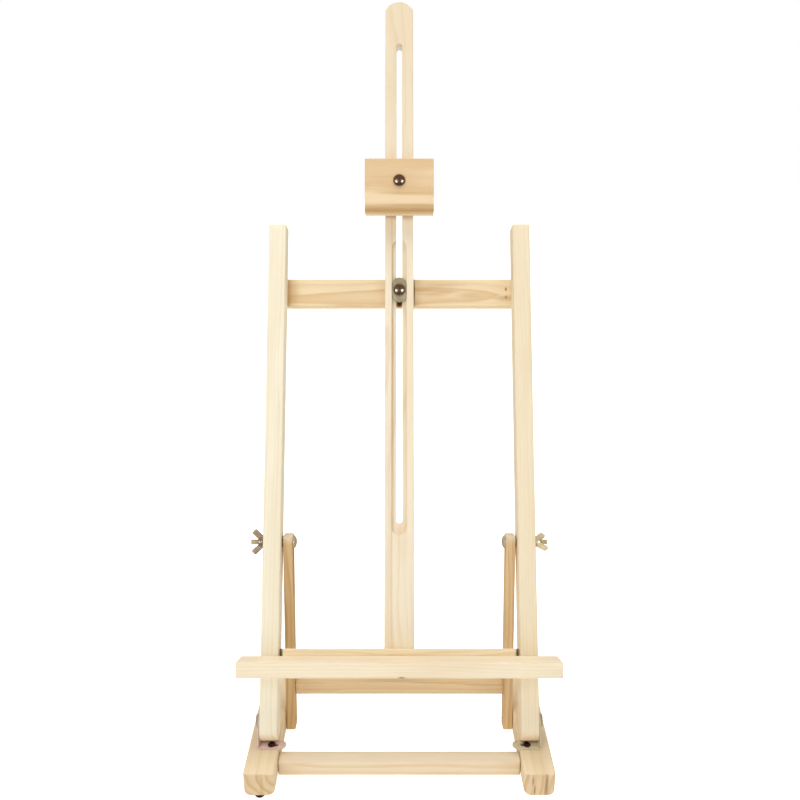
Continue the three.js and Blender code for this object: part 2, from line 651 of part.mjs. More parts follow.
function buildProp() {
  const group = new THREE.Group();
  group.position.set(0, PROP_Y, PROP_Z);
  group.rotation.x = -PROP_LEAN;
  const barY = -STRUT.depth / 2 + PROP_BAR.setBack + PROP_BAR.depth / 2;
  const barZ = PROP_BAR.bottom + PROP_BAR.height / 2;
  for (const side of [-1, 1]) {
    const tag = sideName(side);
    const strutOuterX = side * (STRUT.x + STRUT.width / 2);
    add(group, `strut_${tag}`, strut(side), PINE.prop);
    const barScrew = aim(sunkScrew(SCREW_LENGTH.propBar), [-side, 0, 0], strutOuterX, barY, barZ);
    add(group, `prop_bar_screw_${tag}`, barScrew, STEEL);
  }
  add(group, "prop_bar", propBar(), PINE.prop);
  return group;
}

// The struts' lower pivots: a long screw from each runner's outer face through the strut.
function addPropPivots(group) {
  for (const side of [-1, 1]) {
    const headX = side * (RUNNER.x + RUNNER.width / 2 + GAP);
    const length = RUNNER.x + RUNNER.width / 2 + GAP - PIVOT.tipX;
    const pivot = panScrew(PIVOT.headRadius, PIVOT.headHeight, PIVOT.shank, length);
    aim(pivot, [-side, 0, 0], headX, PROP_Y, PROP_Z);
    add(group, `prop_pivot_screw_${sideName(side)}`, pivot, STEEL);
  }
}

const model = new THREE.Group();
model.position.set(0, -ORIGIN_Y, 0);
model.add(buildBase());
model.add(buildFrame());
model.add(buildProp());
addPropPivots(model);

const easel = new THREE.Group();
easel.add(model);

export default easel;
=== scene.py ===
"""A tabletop H-frame artist easel in pale pine, with zinc-plated bolts, wing nuts and hinge plates."""
import json
import random
from math import asin, atan2, cos, pi, radians, sin, sqrt

import bmesh
import bpy
from mathutils import Matrix, Vector, noise

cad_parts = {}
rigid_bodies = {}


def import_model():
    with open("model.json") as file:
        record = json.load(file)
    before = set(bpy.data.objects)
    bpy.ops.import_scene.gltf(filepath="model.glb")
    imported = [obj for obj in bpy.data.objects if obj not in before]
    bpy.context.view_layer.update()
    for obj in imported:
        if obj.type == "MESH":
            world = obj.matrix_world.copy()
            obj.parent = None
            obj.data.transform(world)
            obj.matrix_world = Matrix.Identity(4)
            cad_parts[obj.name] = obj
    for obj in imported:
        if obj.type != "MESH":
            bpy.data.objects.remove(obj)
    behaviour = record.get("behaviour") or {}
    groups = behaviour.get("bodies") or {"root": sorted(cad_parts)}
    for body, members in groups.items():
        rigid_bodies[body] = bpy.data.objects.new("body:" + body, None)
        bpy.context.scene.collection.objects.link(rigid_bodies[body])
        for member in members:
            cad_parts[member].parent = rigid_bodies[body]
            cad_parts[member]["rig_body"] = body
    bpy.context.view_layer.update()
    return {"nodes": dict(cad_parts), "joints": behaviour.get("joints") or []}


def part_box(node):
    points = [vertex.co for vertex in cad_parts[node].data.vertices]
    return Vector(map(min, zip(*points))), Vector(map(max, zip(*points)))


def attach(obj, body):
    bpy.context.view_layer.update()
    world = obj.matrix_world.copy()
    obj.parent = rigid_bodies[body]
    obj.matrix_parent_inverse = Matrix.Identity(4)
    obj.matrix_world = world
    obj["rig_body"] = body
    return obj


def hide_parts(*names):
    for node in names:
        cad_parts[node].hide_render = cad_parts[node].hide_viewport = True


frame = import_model()

# ---- places ----

MM = 0.001
JOINTS = {j["name"]: j for j in frame["joints"]}
HINGE = Vector(JOINTS["frame_tilt"]["pos_m"])
PROP = Vector(JOINTS["prop_swing"]["pos_m"])
SLIDE = Vector(JOINTS["carriage_slide"]["axis"])  # up the leaning frame
LEAN = atan2(SLIDE.y, SLIDE.z)
PROP_LEAN = radians(12.81)  # the struts' own lean at rest
FRONT_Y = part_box("runner_left")[0].y


def moved(x, y, z):
    return Matrix.Translation((x, y, z))


# Each place takes millimetres: y to the back and z up, along the lean where there is one.
# The base's y = 0 is the front of the left runner; the others start at their own hinge line.
BASE_AT = moved(0, FRONT_Y, 0) @ Matrix.Scale(MM, 4)
FRAME_AT = Matrix.Translation(HINGE) @ Matrix.Rotation(-LEAN, 4, "X") @ Matrix.Scale(MM, 4)
PROP_AT = Matrix.Translation(PROP) @ Matrix.Rotation(-PROP_LEAN, 4, "X") @ Matrix.Scale(MM, 4)


def turned(x, y, z):
    """The rotation whose local axes lie along these three directions."""
    return Matrix((x, y, z)).transposed().to_4x4()


# Which way a piece's local z runs: a board's along its length, a pressed piece's through it.
ALONG_X = turned((0, 1, 0), (0, 0, 1), (1, 0, 0))
ALONG_Y = turned((1, 0, 0), (0, 0, -1), (0, 1, 0))
TO_FRONT = turned((1, 0, 0), (0, 0, 1), (0, -1, 0))


def toward(direction):
    """Turns local +Z to a direction, with local +X kept level or upright."""
    z = Vector(direction).normalized()
    side = Vector((0, 0, 1)) if abs(z.z) < 0.9 else Vector((0, 1, 0))
    x = (side - z * side.dot(z)).normalized()
    return turned(x, z.cross(x), z)


# ---- nodes ----

def lin(r, g, b):
    """A colour on the 0 to 255 screen scale, made linear."""
    def one(v):
        v /= 255
        return v / 12.92 if v <= 0.04045 else ((v + 0.055) / 1.055) ** 2.4
    return (one(r), one(g), one(b), 1)


def tuned(thing, **settings):
    for key, value in settings.items():
        setattr(thing, key, value)
    return thing


class Wiring:
    """A node tree being wired: each call adds one node and gives back its output."""

    def __init__(self, tree):
        self.tree = tree
        tree.nodes.clear()

    def put(self, socket, value):
        if isinstance(value, bpy.types.NodeSocket):
            self.tree.links.new(value, socket)
        else:
            socket.default_value = value

    def node(self, kind, **settings):
        return tuned(self.tree.nodes.new(kind), **settings)

    def fill(self, n, *values):
        """Sets a node's first sockets in order and gives back its first output."""
        for socket, value in zip(n.inputs, values):
            self.put(socket, value)
        return n.outputs[0]

    def math(self, op, a, b=0.0, c=0.0):
        return self.fill(self.node("ShaderNodeMath", operation=op), a, b, c)

    def vec(self, op, a, b=(0, 0, 0), scale=None):
        n = self.node("ShaderNodeVectorMath", operation=op)
        self.put(n.inputs[0], a)
        self.put(n.inputs[1], b)
        if scale is not None:
            self.put(n.inputs[3], scale)
        return n.outputs[1] if op in ("LENGTH", "DOT_PRODUCT") else n.outputs[0]

    def split(self, vector):
        """A vector's x, y and z."""
        n = self.node("ShaderNodeSeparateXYZ")
        self.put(n.inputs[0], vector)
        return tuple(n.outputs)

    def noise(self, vector, per_mm, detail=2.0, rough=0.5, shift=(0, 0, 0), output="Fac"):
        """Noise with its own number of cells per millimetre along each axis."""
        scaled = self.vec("MULTIPLY_ADD", vector, per_mm)
        self.put(scaled.node.inputs[2], shift)
        n = self.node("ShaderNodeTexNoise", noise_dimensions="3D")
        self.put(n.inputs["Vector"], scaled)
        self.put(n.inputs["Scale"], 1.0)
        self.put(n.inputs["Detail"], detail)
        self.put(n.inputs["Roughness"], rough)
        return n.outputs[output]

    def span(self, value, low, high, out_low=0.0, out_high=1.0, easing="SMOOTHSTEP"):
        """Carries a value from one range to another, held at both ends."""
        n = self.node("ShaderNodeMapRange", interpolation_type=easing)
        return self.fill(n, value, low, high, out_low, out_high)

    def mix(self, factor, a, b):
        n = self.node("ShaderNodeMix", data_type="RGBA")
        self.put(n.inputs[0], factor)
        self.put(n.inputs[6], a)
        self.put(n.inputs[7], b)
        return n.outputs[2]


class Mat(Wiring):
    """A material that ends in one Principled shader."""

    def __init__(self, name):
        self.mat = bpy.data.materials.new(name)
        self.mat.use_nodes = True
        super().__init__(self.mat.node_tree)
        self.bsdf = self.node("ShaderNodeBsdfPrincipled")
        out = self.node("ShaderNodeOutputMaterial")
        self.put(out.inputs[0], self.bsdf.outputs[0])

    def millimetres(self):
        return self.node("ShaderNodeTexCoord").outputs["Object"]

    def across(self):
        """1 where a face lies across the fibres, which run along the piece's own z."""
        normal = self.node("ShaderNodeNewGeometry").outputs["Normal"]
        turn = self.node("ShaderNodeVectorTransform", vector_type="NORMAL", convert_from="WORLD",
                         convert_to="OBJECT")
        self.put(turn.inputs[0], normal)
        own = self.split(self.vec("NORMALIZE", turn.outputs[0]))
        return self.span(self.math("ABSOLUTE", own[2]), 0.12, 0.5)

    def bump(self, height, strength, distance):
        n = self.node("ShaderNodeBump")
        self.put(n.inputs["Strength"], strength)
        self.put(n.inputs["Distance"], distance)
        self.put(n.inputs["Height"], height)
        self.put(self.bsdf.inputs["Normal"], n.outputs[0])

    def set(self, **values):
        for key, value in values.items():
            self.put(self.bsdf.inputs[key.replace("_", " ")], value)


def wood(name, pale, late, half, pith, ring, seed, grain, spots=(), ends=0.6):
    """Planed pine whose fibres run along local z, in millimetres.

    `pale` and `late` are the early and late wood, `half` the board's half size, `pith` the heart of
    the tree in local x and y, and `ring` a year's growth. `grain` is how strongly the rings show
    along the board and `ends` across it. Each spot is a centre, its radii, an amount and a colour.
    """
    m = Mat(name)
    at = m.millimetres()
    shift = (seed * 7.31, seed * 3.77, seed * 11.9)
    pale, late = lin(*pale), lin(*late)
    deep = tuple(c * k for c, k in zip(late[:3], (0.86, 0.72, 0.56))) + (1,)
    # the years: distance from a wandering pith, each ring darkening slowly and stopping short
    wander = m.noise(at, (0.022, 0.022, 0.0035), 2.0, 0.5, shift, "Color")
    bend = m.vec("SUBTRACT", wander, (0.5, 0.5, 0.5))
    bent = m.vec("ADD", at, m.vec("SCALE", bend, scale=16.0))
    flat = m.vec("MULTIPLY", m.vec("SUBTRACT", bent, (pith[0], pith[1], 0)), (1, 1, 0))
    radius = m.vec("LENGTH", flat)
    ripple = m.noise(at, (0.35, 0.35, 0.012), 2.0, 0.5, shift)
    radius = m.math("MULTIPLY_ADD", ripple, 0.9, radius)
    turn = m.math("FRACT", m.math("DIVIDE", radius, ring))
    summer = m.span(turn, 0.2, 0.86)
    winter = m.span(turn, 0.84, 1.0, 1.0, 0.0)
    rings = m.math("MULTIPLY", m.math("POWER", summer, 1.8), winter)
    spread = m.vec("SCALE", (1, 0, 0), scale=radius)
    years = m.noise(spread, (0.16, 0, 0), 1.0, 0.5, shift)
    rings = m.math("MULTIPLY", rings, m.span(years, 0.3, 0.72, 0.25, 1.0))
    # fibres, long streaks and broad changes of tone
    fibre = m.noise(at, (3.2, 3.2, 0.05), 4.0, 0.62, shift)
    streak = m.noise(at, (0.42, 0.42, 0.006), 3.0, 0.55, shift)
    tone = m.noise(at, (0.035, 0.035, 0.007), 2.0, 0.5, shift)
    colour = m.mix(m.math("MULTIPLY", rings, grain), pale, late)
    colour = m.mix(m.span(streak, 0.52, 0.78, 0.0, 0.5 * grain), colour, late)
    colour = m.mix(m.span(tone, 0.45, 0.75, 0.0, 0.28), colour, late)
    # painted shade darkens the long edges, where the eased edges turn away from the light
    x, y = (m.math("ABSOLUTE", s) for s in m.split(at)[:2])
    edge = m.math("MAXIMUM", m.math("SUBTRACT", half[0], x), m.math("SUBTRACT", half[1], y))
    painted_shade_at = m.math("ADD", edge, m.math("MULTIPLY", streak, 1.4))
    colour = m.mix(m.span(painted_shade_at, 0.5, 1.9, 0.3, 0.0), colour, deep)
    # end grain: open pores and harder rings
    end = m.across()
    pores = m.noise(at, (2.4, 2.4, 0.9), 3.0, 0.6, shift)
    end_colour = m.mix(m.math("MULTIPLY", rings, 0.75), colour, deep)
    end_colour = m.mix(m.span(pores, 0.35, 0.75, 0.08, 0.4), end_colour, deep)
    colour = m.mix(m.math("MULTIPLY", end, ends), colour, end_colour)
    # stains, knots and marks, and on some pieces painted shade and painted light
    for centre, radii, amount, stain_and_painted_light in spots:
        off = m.vec("DIVIDE", m.vec("SUBTRACT", at, centre), radii)
        near = m.vec("LENGTH", off)
        near = m.math("MULTIPLY_ADD", fibre, 0.35, near)
        colour = m.mix(m.span(near, 0.3, 1.2, amount, 0.0), colour, lin(*stain_and_painted_light))
    # fibres lighten and darken the colour, and with the rings they lift and roughen the face
    light = m.math("MULTIPLY_ADD", m.math("SUBTRACT", fibre, 0.5), 0.22, 1.0)
    lit = m.node("ShaderNodeHueSaturation")
    m.put(lit.inputs["Value"], light)
    m.put(lit.inputs["Color"], colour)
    height = m.math("MULTIPLY_ADD", rings, 0.55, m.math("MULTIPLY", fibre, 0.5))
    m.bump(height, 0.32, 0.00022)
    rough = m.math("MULTIPLY_ADD", fibre, 0.24, 0.4)
    m.set(Base_Color=lit.outputs[0], Roughness=m.math("ADD", rough, m.math("MULTIPLY", end, 0.2)))
    m.set(Specular_IOR_Level=0.3, Coat_Weight=0.06, Coat_Roughness=0.35)
    return m.mat


def metal(name, clean, dull, rough, seed, metallic=1.0):
    """Plated steel with faint tarnish, fine scratches and a slightly uneven polish."""
    m = Mat(name)
    at = m.millimetres()
    shift = (seed * 5.1, seed * 9.3, seed * 2.7)
    patch = m.noise(at, (0.35, 0.35, 0.35), 3.0, 0.6, shift)
    speck = m.noise(at, (2.6, 2.6, 2.6), 3.0, 0.6, shift)
    scratch = m.noise(at, (6.0, 0.5, 4.0), 2.0, 0.6, shift)
    dirt = m.span(m.math("MULTIPLY_ADD", speck, 0.4, patch), 0.6, 0.9, 0.0, 0.35)
    m.set(Base_Color=m.mix(dirt, lin(*clean), lin(*dull)), Metallic=metallic)
    uneven = m.math("MULTIPLY_ADD", patch, 0.16, rough - 0.08)
    m.set(Roughness=m.math("ADD", uneven, m.math("MULTIPLY", dirt, 0.25)))
    m.bump(m.math("MULTIPLY_ADD", scratch, 0.6, m.math("MULTIPLY", speck, 0.4)), 0.12, 0.00012)
    return m.mat


def moulded(name, dark, light):
    """Black moulded plastic with a fine dimpled surface and scuffs."""
    m = Mat(name)
    at = m.millimetres()
    dimple = m.noise(at, (3.0, 3.0, 3.0), 3.0, 0.6)
    scuff = m.noise(at, (0.5, 0.5, 1.4), 3.0, 0.6, (0, 4, 0))
    m.set(Base_Color=m.mix(m.span(scuff, 0.5, 0.8, 0.0, 0.6), lin(*dark), lin(*light)))
    m.set(Roughness=m.math("MULTIPLY_ADD", scuff, 0.3, 0.35))
    m.bump(dimple, 0.25, 0.0001)
    return m.mat


# ---- mesh code, in millimetres ----

SHARP = radians(38)  # edges that turn by more than this stay as corners
RECT = ((1, 1), (-1, 1), (-1, -1), (1, -1))  # a rectangle's corners, anticlockwise


def shade(bm):
    """Smooth shading except along real corners."""
    for face in bm.faces:
        face.smooth = True
    for e in bm.edges:
        e.smooth = not (e.is_manifold and e.calc_face_angle(0) > SHARP)


def to_object(name, bm, at, material=None):
    bmesh.ops.recalc_face_normals(bm, faces=bm.faces)
    shade(bm)
    mesh = bpy.data.meshes.new(name)
    bm.to_mesh(mesh)
    bm.free()
    obj = bpy.data.objects.new(name, mesh)
    bpy.context.scene.collection.objects.link(obj)
    obj.matrix_world = at
    if material is not None:
        mesh.materials.append(material)
    bpy.context.view_layer.update()
    return obj


def bake_down(obj):
    """Puts the result of the modifiers into the mesh itself."""
    graph = bpy.context.evaluated_depsgraph_get()
    mesh = bpy.data.meshes.new_from_object(obj.evaluated_get(graph))
    obj.modifiers.clear()
    old = obj.data
    obj.data = mesh
    bpy.data.meshes.remove(old)


def shade_object(obj):
    bm = bmesh.new()
    bm.from_mesh(obj.data)
    shade(bm)
    bm.to_mesh(obj.data)
    bm.free()


def boolean(obj, cutters, operation="DIFFERENCE"):
    """Cuts by, or joins with, each of the given objects, which are then used up."""
    for cutter in cutters:
        tuned(obj.modifiers.new("cut", "BOOLEAN"), operation=operation, solver="EXACT", object=cutter)
    bake_down(obj)
    for cutter in cutters:
        mesh = cutter.data
        bpy.data.objects.remove(cutter)
        bpy.data.meshes.remove(mesh)
    shade_object(obj)
    return obj


def corner_loop(hx, hy, radii, bead=0.5, steps=4):
    """Points round a rectangle with round corners, from the (+x, +y) corner anticlockwise.

    A bead's width beside each arc there is one more point, which keeps the flat faces flat.
    """
    points = []
    for (sx, sy), r, start in zip(RECT, radii, (0, 90, 180, 270)):
        r = min(r, hx * 0.9, hy * 0.9)
        cx, cy = sx * (hx - r), sy * (hy - r)
        arc = []
        for i in range(steps + 1):
            a = radians(start + 90 * i / steps)
            arc.append(Vector((cx + r * cos(a), cy + r * sin(a))))
        a0, a1 = radians(start), radians(start + 90)
        room = min(bead, (hx - r) * 0.4, (hy - r) * 0.4)
        before = arc[0] + Vector((sin(a0), -cos(a0))) * room
        after = arc[-1] + Vector((-sin(a1), cos(a1))) * room
        points += [before, *arc, after]
    return points


def skin(bm, loops):
    """Faces between rings of vertices, with a flat cap on the first and last."""
    for low, high in zip(loops, loops[1:]):
        for i in range(len(low)):
            j = (i + 1) % len(low)
            bm.faces.new((low[i], low[j], high[j], high[i]))
    bm.faces.new(loops[0][::-1])
    bm.faces.new(loops[-1])


WANDER = 0.05   # how far a planed face wanders
KNOCK = 0.22    # how hard a corner is knocked, and how often
KNOCKED = 0.12


def board(name, at, half, z0, z1, radii, material, soft, shape=None, seed=0, pitch=6.0):
    """A planed board along local z, with eased edges, a faint wander and a few knocked corners.

    `radii` are those of its four long edges, `soft` that of its ends and `pitch` the distance between
    its rings of points. `shape` gives how far the two half sizes are drawn in at a height.
    """
    rng = random.Random(seed)
    middle = (z0 + z1) / 2
    count = max(2, round((z1 - z0) / pitch))
    heights = [(z0 + soft + (z1 - z0 - 2 * soft) * i / count, 0.0) for i in range(count + 1)]
    low = [(z0 + soft * (1 - cos(a)), soft * (1 - sin(a)))
           for a in (radians(d) for d in (0, 30, 60))]
    high = [(z1 - (z - z0), inset) for z, inset in reversed(low)]
    if shape:
        heights = sorted(set(heights + [(z, 0.0) for z in shape.stops]))
        low, high = shape.ends(low, high)
    bm = bmesh.new()
    loops = []
    for z, inset in low + heights + high:
        dx, dy = shape(z) if shape else (0, 0)
        hx, hy = half[0] - inset - dx, half[1] - inset - dy
        knock = [max(0, rng.gauss(0, KNOCK)) if rng.random() < KNOCKED else 0 for _ in range(4)]
        sized = [max(0.12, r + k) for r, k in zip(radii, knock)]
        ring = []
        for i, p in enumerate(corner_loop(hx, hy, sized)):
            dip = WANDER * (1 + noise.noise(Vector((z / 17, i // 7, seed * 1.7))))
            ring.append(bm.verts.new((p.x * (1 - dip / half[0]), p.y * (1 - dip / half[1]), z - middle)))
        loops.append(ring)
    skin(bm, loops)
    return to_object(name, bm, at @ moved(0, 0, middle), material)


class RoundEnd:
    """Draws a board in along one axis so that an end is an arc, cut off flat `tip` from its middle."""

    def __init__(self, axis, half, radius, centre, sign, tip, steps=14):
        self.axis, self.half, self.radius, self.centre, self.sign = axis, half, radius, centre, sign
        reach = sqrt(max(0.0, radius ** 2 - tip ** 2))
        start = sqrt(max(0.0, radius ** 2 - half ** 2)) if radius > half else 0.0
        a0, a1 = asin(start / radius), asin(reach / radius)
        self.stops = [centre + sign * radius * sin(a0 + (a1 - a0) * i / steps)
                      for i in range(steps + 1)]
        self.limit = centre + sign * reach

    def ends(self, low, high):
        return ([], high) if self.sign < 0 else (low, [])

    def __call__(self, z):
        over = (z - self.centre) * self.sign
        if over <= 0:
            return (0, 0)
        width = sqrt(max(0.0, self.radius ** 2 - min(over, self.radius) ** 2))
        inset = max(0.0, self.half - max(width, 0.4))
        return (inset, 0) if self.axis == 0 else (0, inset)


class RoundCorners:
    """Draws a board in along local x near both ends, so its four upright corners are round."""

    def __init__(self, radius, low, high, steps=6, soft=0.9):
        self.radius, self.low, self.high = radius, low, high
        reach = [radius * (1 - cos(pi / 2 * i / steps)) for i in range(1, steps + 1)]
        self.stops = [z for d in reach if d > soft for z in (low + d, high - d)]

    def ends(self, low, high):
        return low, high

    def __call__(self, z):
        left = self.radius - max(0.0, min(z - self.low, self.high - z))
        if left <= 0:
            return (0, 0)
        return (self.radius - sqrt(self.radius ** 2 - left ** 2), 0)


def lathe(name, at, profile, material=None, sides=40, closed=False):
    """A turned piece about local z. A profile runs from the axis to the axis, or closes on itself."""
    bm = bmesh.new()
    rings = []
    for r, z in profile:
        if r == 0:
            rings.append([bm.verts.new((0, 0, z))])
            continue
        turns = [2 * pi * i / sides for i in range(sides)]
        rings.append([bm.verts.new((r * cos(a), r * sin(a), z)) for a in turns])
    pairs = list(zip(rings, rings[1:]))
    if closed:
        pairs.append((rings[-1], rings[0]))
    for a, b in pairs:
        for i in range(sides):
            j = (i + 1) % sides
            if len(a) == 1:
                bm.faces.new((a[0], b[i], b[j]))
            elif len(b) == 1:
                bm.faces.new((a[i], b[0], a[j]))
            else:
                bm.faces.new((a[i], b[i], b[j], a[j]))
    return to_object(name, bm, at, material)


def prism(name, at, points, z0, z1, material=None):
    """An outline in local x and y made solid between two heights."""
    bm = bmesh.new()
    low = [bm.verts.new((x, y, z0)) for x, y in points]
    high = [bm.verts.new((x, y, z1)) for x, y in points]
    skin(bm, [low, high])
    return to_object(name, bm, at, material)


def obround(x, low, high, width, steps=12):
    """The outline of a slot with round ends, upright about x."""
    r = width / 2
    points = []
    for cy, start in ((high - r, 0), (low + r, 180)):
        for i in range(steps + 1):
            a = radians(start + 180 * i / steps)
            points.append((x + r * cos(a), cy + r * sin(a)))
    return points


def slot_cutter(at, sizes, faces, flare, steps=12):
    """Cuts a slot between two heights, with its edges slightly broken."""
    z0, z1 = faces
    bm = bmesh.new()
    loops = []
    for z, extra in ((z0 - 1, flare), (z0, flare), (z0 + flare, 0),
                     (z1 - flare, 0), (z1, flare), (z1 + 1, flare)):
        outline = obround(0, sizes["low"] - extra, sizes["high"] + extra, sizes["width"] + 2 * extra, steps)
        loops.append([bm.verts.new((x, y, z)) for x, y in outline])
    skin(bm, loops)
    return to_object("cutter", bm, at)


def drill(at, radius, z0, z1, sides=28):
    return lathe("cutter", at, [(0, z0), (radius, z0), (radius, z1), (0, z1)], sides=sides)


def sink(at, radius=4.25, depth=2.6, pilot=2.1):
    """Cuts the cone that lets a screw head lie flush. Local +z runs into the wood."""
    end = depth + 3
    points = [(0, -1), (radius + 1, -1), (radius, 0), (pilot, depth), (pilot, end), (0, end)]
    return lathe("cutter", at, points, sides=28)


def settle(obj, node):
    """The piece stands for its CAD node, on the same body."""
    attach(obj, frame["nodes"][node]["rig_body"])
    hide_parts(node)
    return obj


# ---- hardware ----

GAP = 0.3          # between neighbouring pieces
SHAFT = 2.5        # radii: a bolt, the hole bored for it, and a washer's own hole
BORE = 2.7
WASHER_BORE = 2.75
BOLT_HEAD = (6.7, 3.4)  # radius and height
DOME_ARC = 84      # degrees of arc from a domed head's top to its rim


def dome(radius, height, steps=14, rim=0.35):
    """The profile of a domed head from its top at the axis down to its bearing face at z = 0."""
    edge = radians(DOME_ARC)
    points = [(0, -height)]
    for i in range(1, steps + 1):
        a = radians(DOME_ARC * i / steps)
        drop = (cos(a) - cos(edge)) / (1 - cos(edge))
        points.append((radius * sin(a) / sin(edge), -rim - (height - rim) * drop))
    points.append((radius - 0.15, 0))
    return points


def thread(radius, z0, z1, pitch=0.8, depth=0.32):
    """The profile of a thread, as plain grooves, down to the bolt's end on the axis."""
    points = []
    z = z0
    while z + pitch <= z1:
        points += [(radius, z), (radius - depth, z + pitch * 0.5)]
        z += pitch
    points += [(radius, z), (radius - 0.6, z1), (0, z1)]
    return points


def carriage_bolt(node, at, length, threaded, material):
    """A domed bolt whose head bears at local z = 0."""
    profile = dome(*BOLT_HEAD) + [(SHAFT, 0)] + thread(SHAFT, length - threaded, length)
    return settle(lathe(f"{node}_turned", at, profile, material, 44), node)


CROSS_TURN = 20     # degrees: how every screw was left


def cross_cutters(at, reach, top, depth=1.5, width=1.1):
    """Two tapered bars that leave a cross recess. `top` is the height of the head's face."""
    cutters = []
    for turn in (0, 90):
        bm = bmesh.new()
        loops = []
        for z, long, wide in ((top - 2, reach * 1.25, width * 1.3),
                              (top + depth, reach * 0.55, width * 0.7)):
            loops.append([bm.verts.new((x * long, y * wide / 2, z)) for x, y in RECT])
        skin(bm, loops)
        set_to = Matrix.Rotation(radians(turn + CROSS_TURN), 4, "Z")
        cutters.append(to_object("cutter", bm, at @ set_to))
    return cutters


def sunk_screw(node, at, length, radius=4.0):
    """Flat head just below the wood's face, with a cross recess; local +z runs into the wood."""
    top, shank = 0.12, 1.8
    profile = [(0, top), (radius - 0.25, top), (radius, 0.3), (shank, 2.5), (shank, length - 3), (0, length)]
    screw = lathe(f"{node}_turned", at, profile, ZINC, 36)
    return settle(boolean(screw, cross_cutters(at, 2.2, top)), node)


def pan_screw(node, at, radius, height, shank, length, material, reach=2.3):
    """Domed head with a cross recess, bearing at local z = 0; local +z runs into the work."""
    profile = dome(radius, height) + [(shank, 0), (shank, length - 2), (0, length)]
    screw = lathe(f"{node}_turned", at, profile, material)
    return settle(boolean(screw, cross_cutters(at, reach, -height)), node)


def washer(node, at, radius, thick, bore=WASHER_BORE):
    """A flat ring with eased edges."""
    e = min(0.25, thick / 3)
    profile = [(bore, e), (bore + e, 0), (radius - e, 0), (radius, e), (radius, thick - e),
               (radius - e, thick), (bore + e, thick), (bore, thick - e)]
    return settle(lathe(f"{node}_turned", at, profile, ZINC, closed=True), node)


# A wing nut: the hub from the axis out and back, and one wing from inside the hub out to its tip.
HUB = ((0, 0), (5.2, 0), (5.4, 0.4), (5.25, 1.4), (4.7, 2.2), (4.3, 4.2), (4.0, 4.7), (0, 4.7))
WING = ((2.0, 0.3), (6.3, 0.3), (12.8, 7.2), (13.1, 8.1), (12.5, 8.95), (10.2, 11.4), (9.3, 11.85),
        (8.3, 11.2), (2.0, 4.1))
WING_HALF = 1.75    # half a wing's thickness


def wing_nut(node, at, turn, material):
    """A pressed wing nut: hub and wings fused, softened as if cast, then bored for its bolt."""
    placed = at @ Matrix.Rotation(radians(turn), 4, "Z")
    hub = lathe(f"{node}_cast", placed, HUB, material)
    wings = []
    for side in (0, 180):
        about = Matrix.Rotation(radians(side), 4, "Z")
        stand = placed @ about @ Matrix.Rotation(pi / 2, 4, "X")
        wings.append(prism("wing", stand, WING, -WING_HALF, WING_HALF))
    boolean(hub, wings, "UNION")
    tuned(hub.modifiers.new("melt", "REMESH"), mode="VOXEL", voxel_size=0.3, use_smooth_shade=True)
    tuned(hub.modifiers.new("soft", "SMOOTH"), factor=0.6, iterations=4)
    bake_down(hub)
    hub.data.materials.clear()
    hub.data.materials.append(material)
    return settle(boolean(hub, [drill(placed, BORE, -2, 12, 36)]), node)


# ---- materials ----

NICKEL = metal("nickel", (176, 160, 146), (92, 74, 62), 0.2, 1)
ZINC = metal("zinc", (178, 168, 156), (104, 92, 80), 0.3, 2)
CAST = metal("cast_nut", (196, 180, 158), (112, 94, 76), 0.3, 6, metallic=0.75)
# painted light: the right wing nut's copy of the cast metal, made paler for the bright reflections it shows
CAST_PAINTED_LIGHT = metal("cast_nut_painted_light", (250, 238, 202), (200, 172, 118), 0.3, 7, metallic=0.35)
PLATES = {
    -1: metal("plate_left", (232, 206, 198), (176, 146, 136), 0.34, 3, metallic=0.12),
    1: metal("plate_right", (222, 214, 184), (156, 146, 112), 0.34, 8, metallic=0.12),
}
OLIVE = metal("slot_plate_steel", (170, 163, 134), (122, 112, 86), 0.34, 4, metallic=0.2)
PALE_BOLT = metal("pale_bolt", (222, 210, 182), (140, 112, 78), 0.26, 10, metallic=0.5)
PALE_SCREW = metal("pale_screw", (206, 200, 184), (140, 130, 112), 0.3, 9, metallic=0.35)
BLACK = metal("dark_screw", (84, 56, 50), (40, 24, 22), 0.36, 5)
FEET = moulded("glide", (24, 15, 14), (58, 44, 40))

# ---- sizes, in millimetres ----

GLIDE = (5.5, 4.0)
RUNNER = dict(x=136.5, half=(15.15, 12.5), mid_z=16.5, length=186.0, corner=5.0)
RUNNER_OUT = RUNNER["x"] + RUNNER["half"][0]
BARS = {"front": 24.2, "rear": 171.0}
BAR = dict(depth=14.5, height=17.4, low=4.0, reach=121.05)
UPRIGHT = dict(x=131.5, half=(9.25, 10.5), top=517.6, end=-8.5)
UPRIGHT_OUT = UPRIGHT["x"] + UPRIGHT["half"][0]
TOP_RAIL = dict(front=10.8, depth=13.4, half=15.3, mid=447.0, reach=140.7)
RAIL_BACK = TOP_RAIL["front"] + TOP_RAIL["depth"]
MAST = dict(half=15.5, front=-3.8, back=10.4, low=46.0, shoulder=769.2, crown=9.6)
GUIDE = dict(front=-10.7, thick=6.6, low=46.0, top=72.0, reach=118.0)
GUIDE_BACK = GUIDE["front"] + GUIDE["thick"]
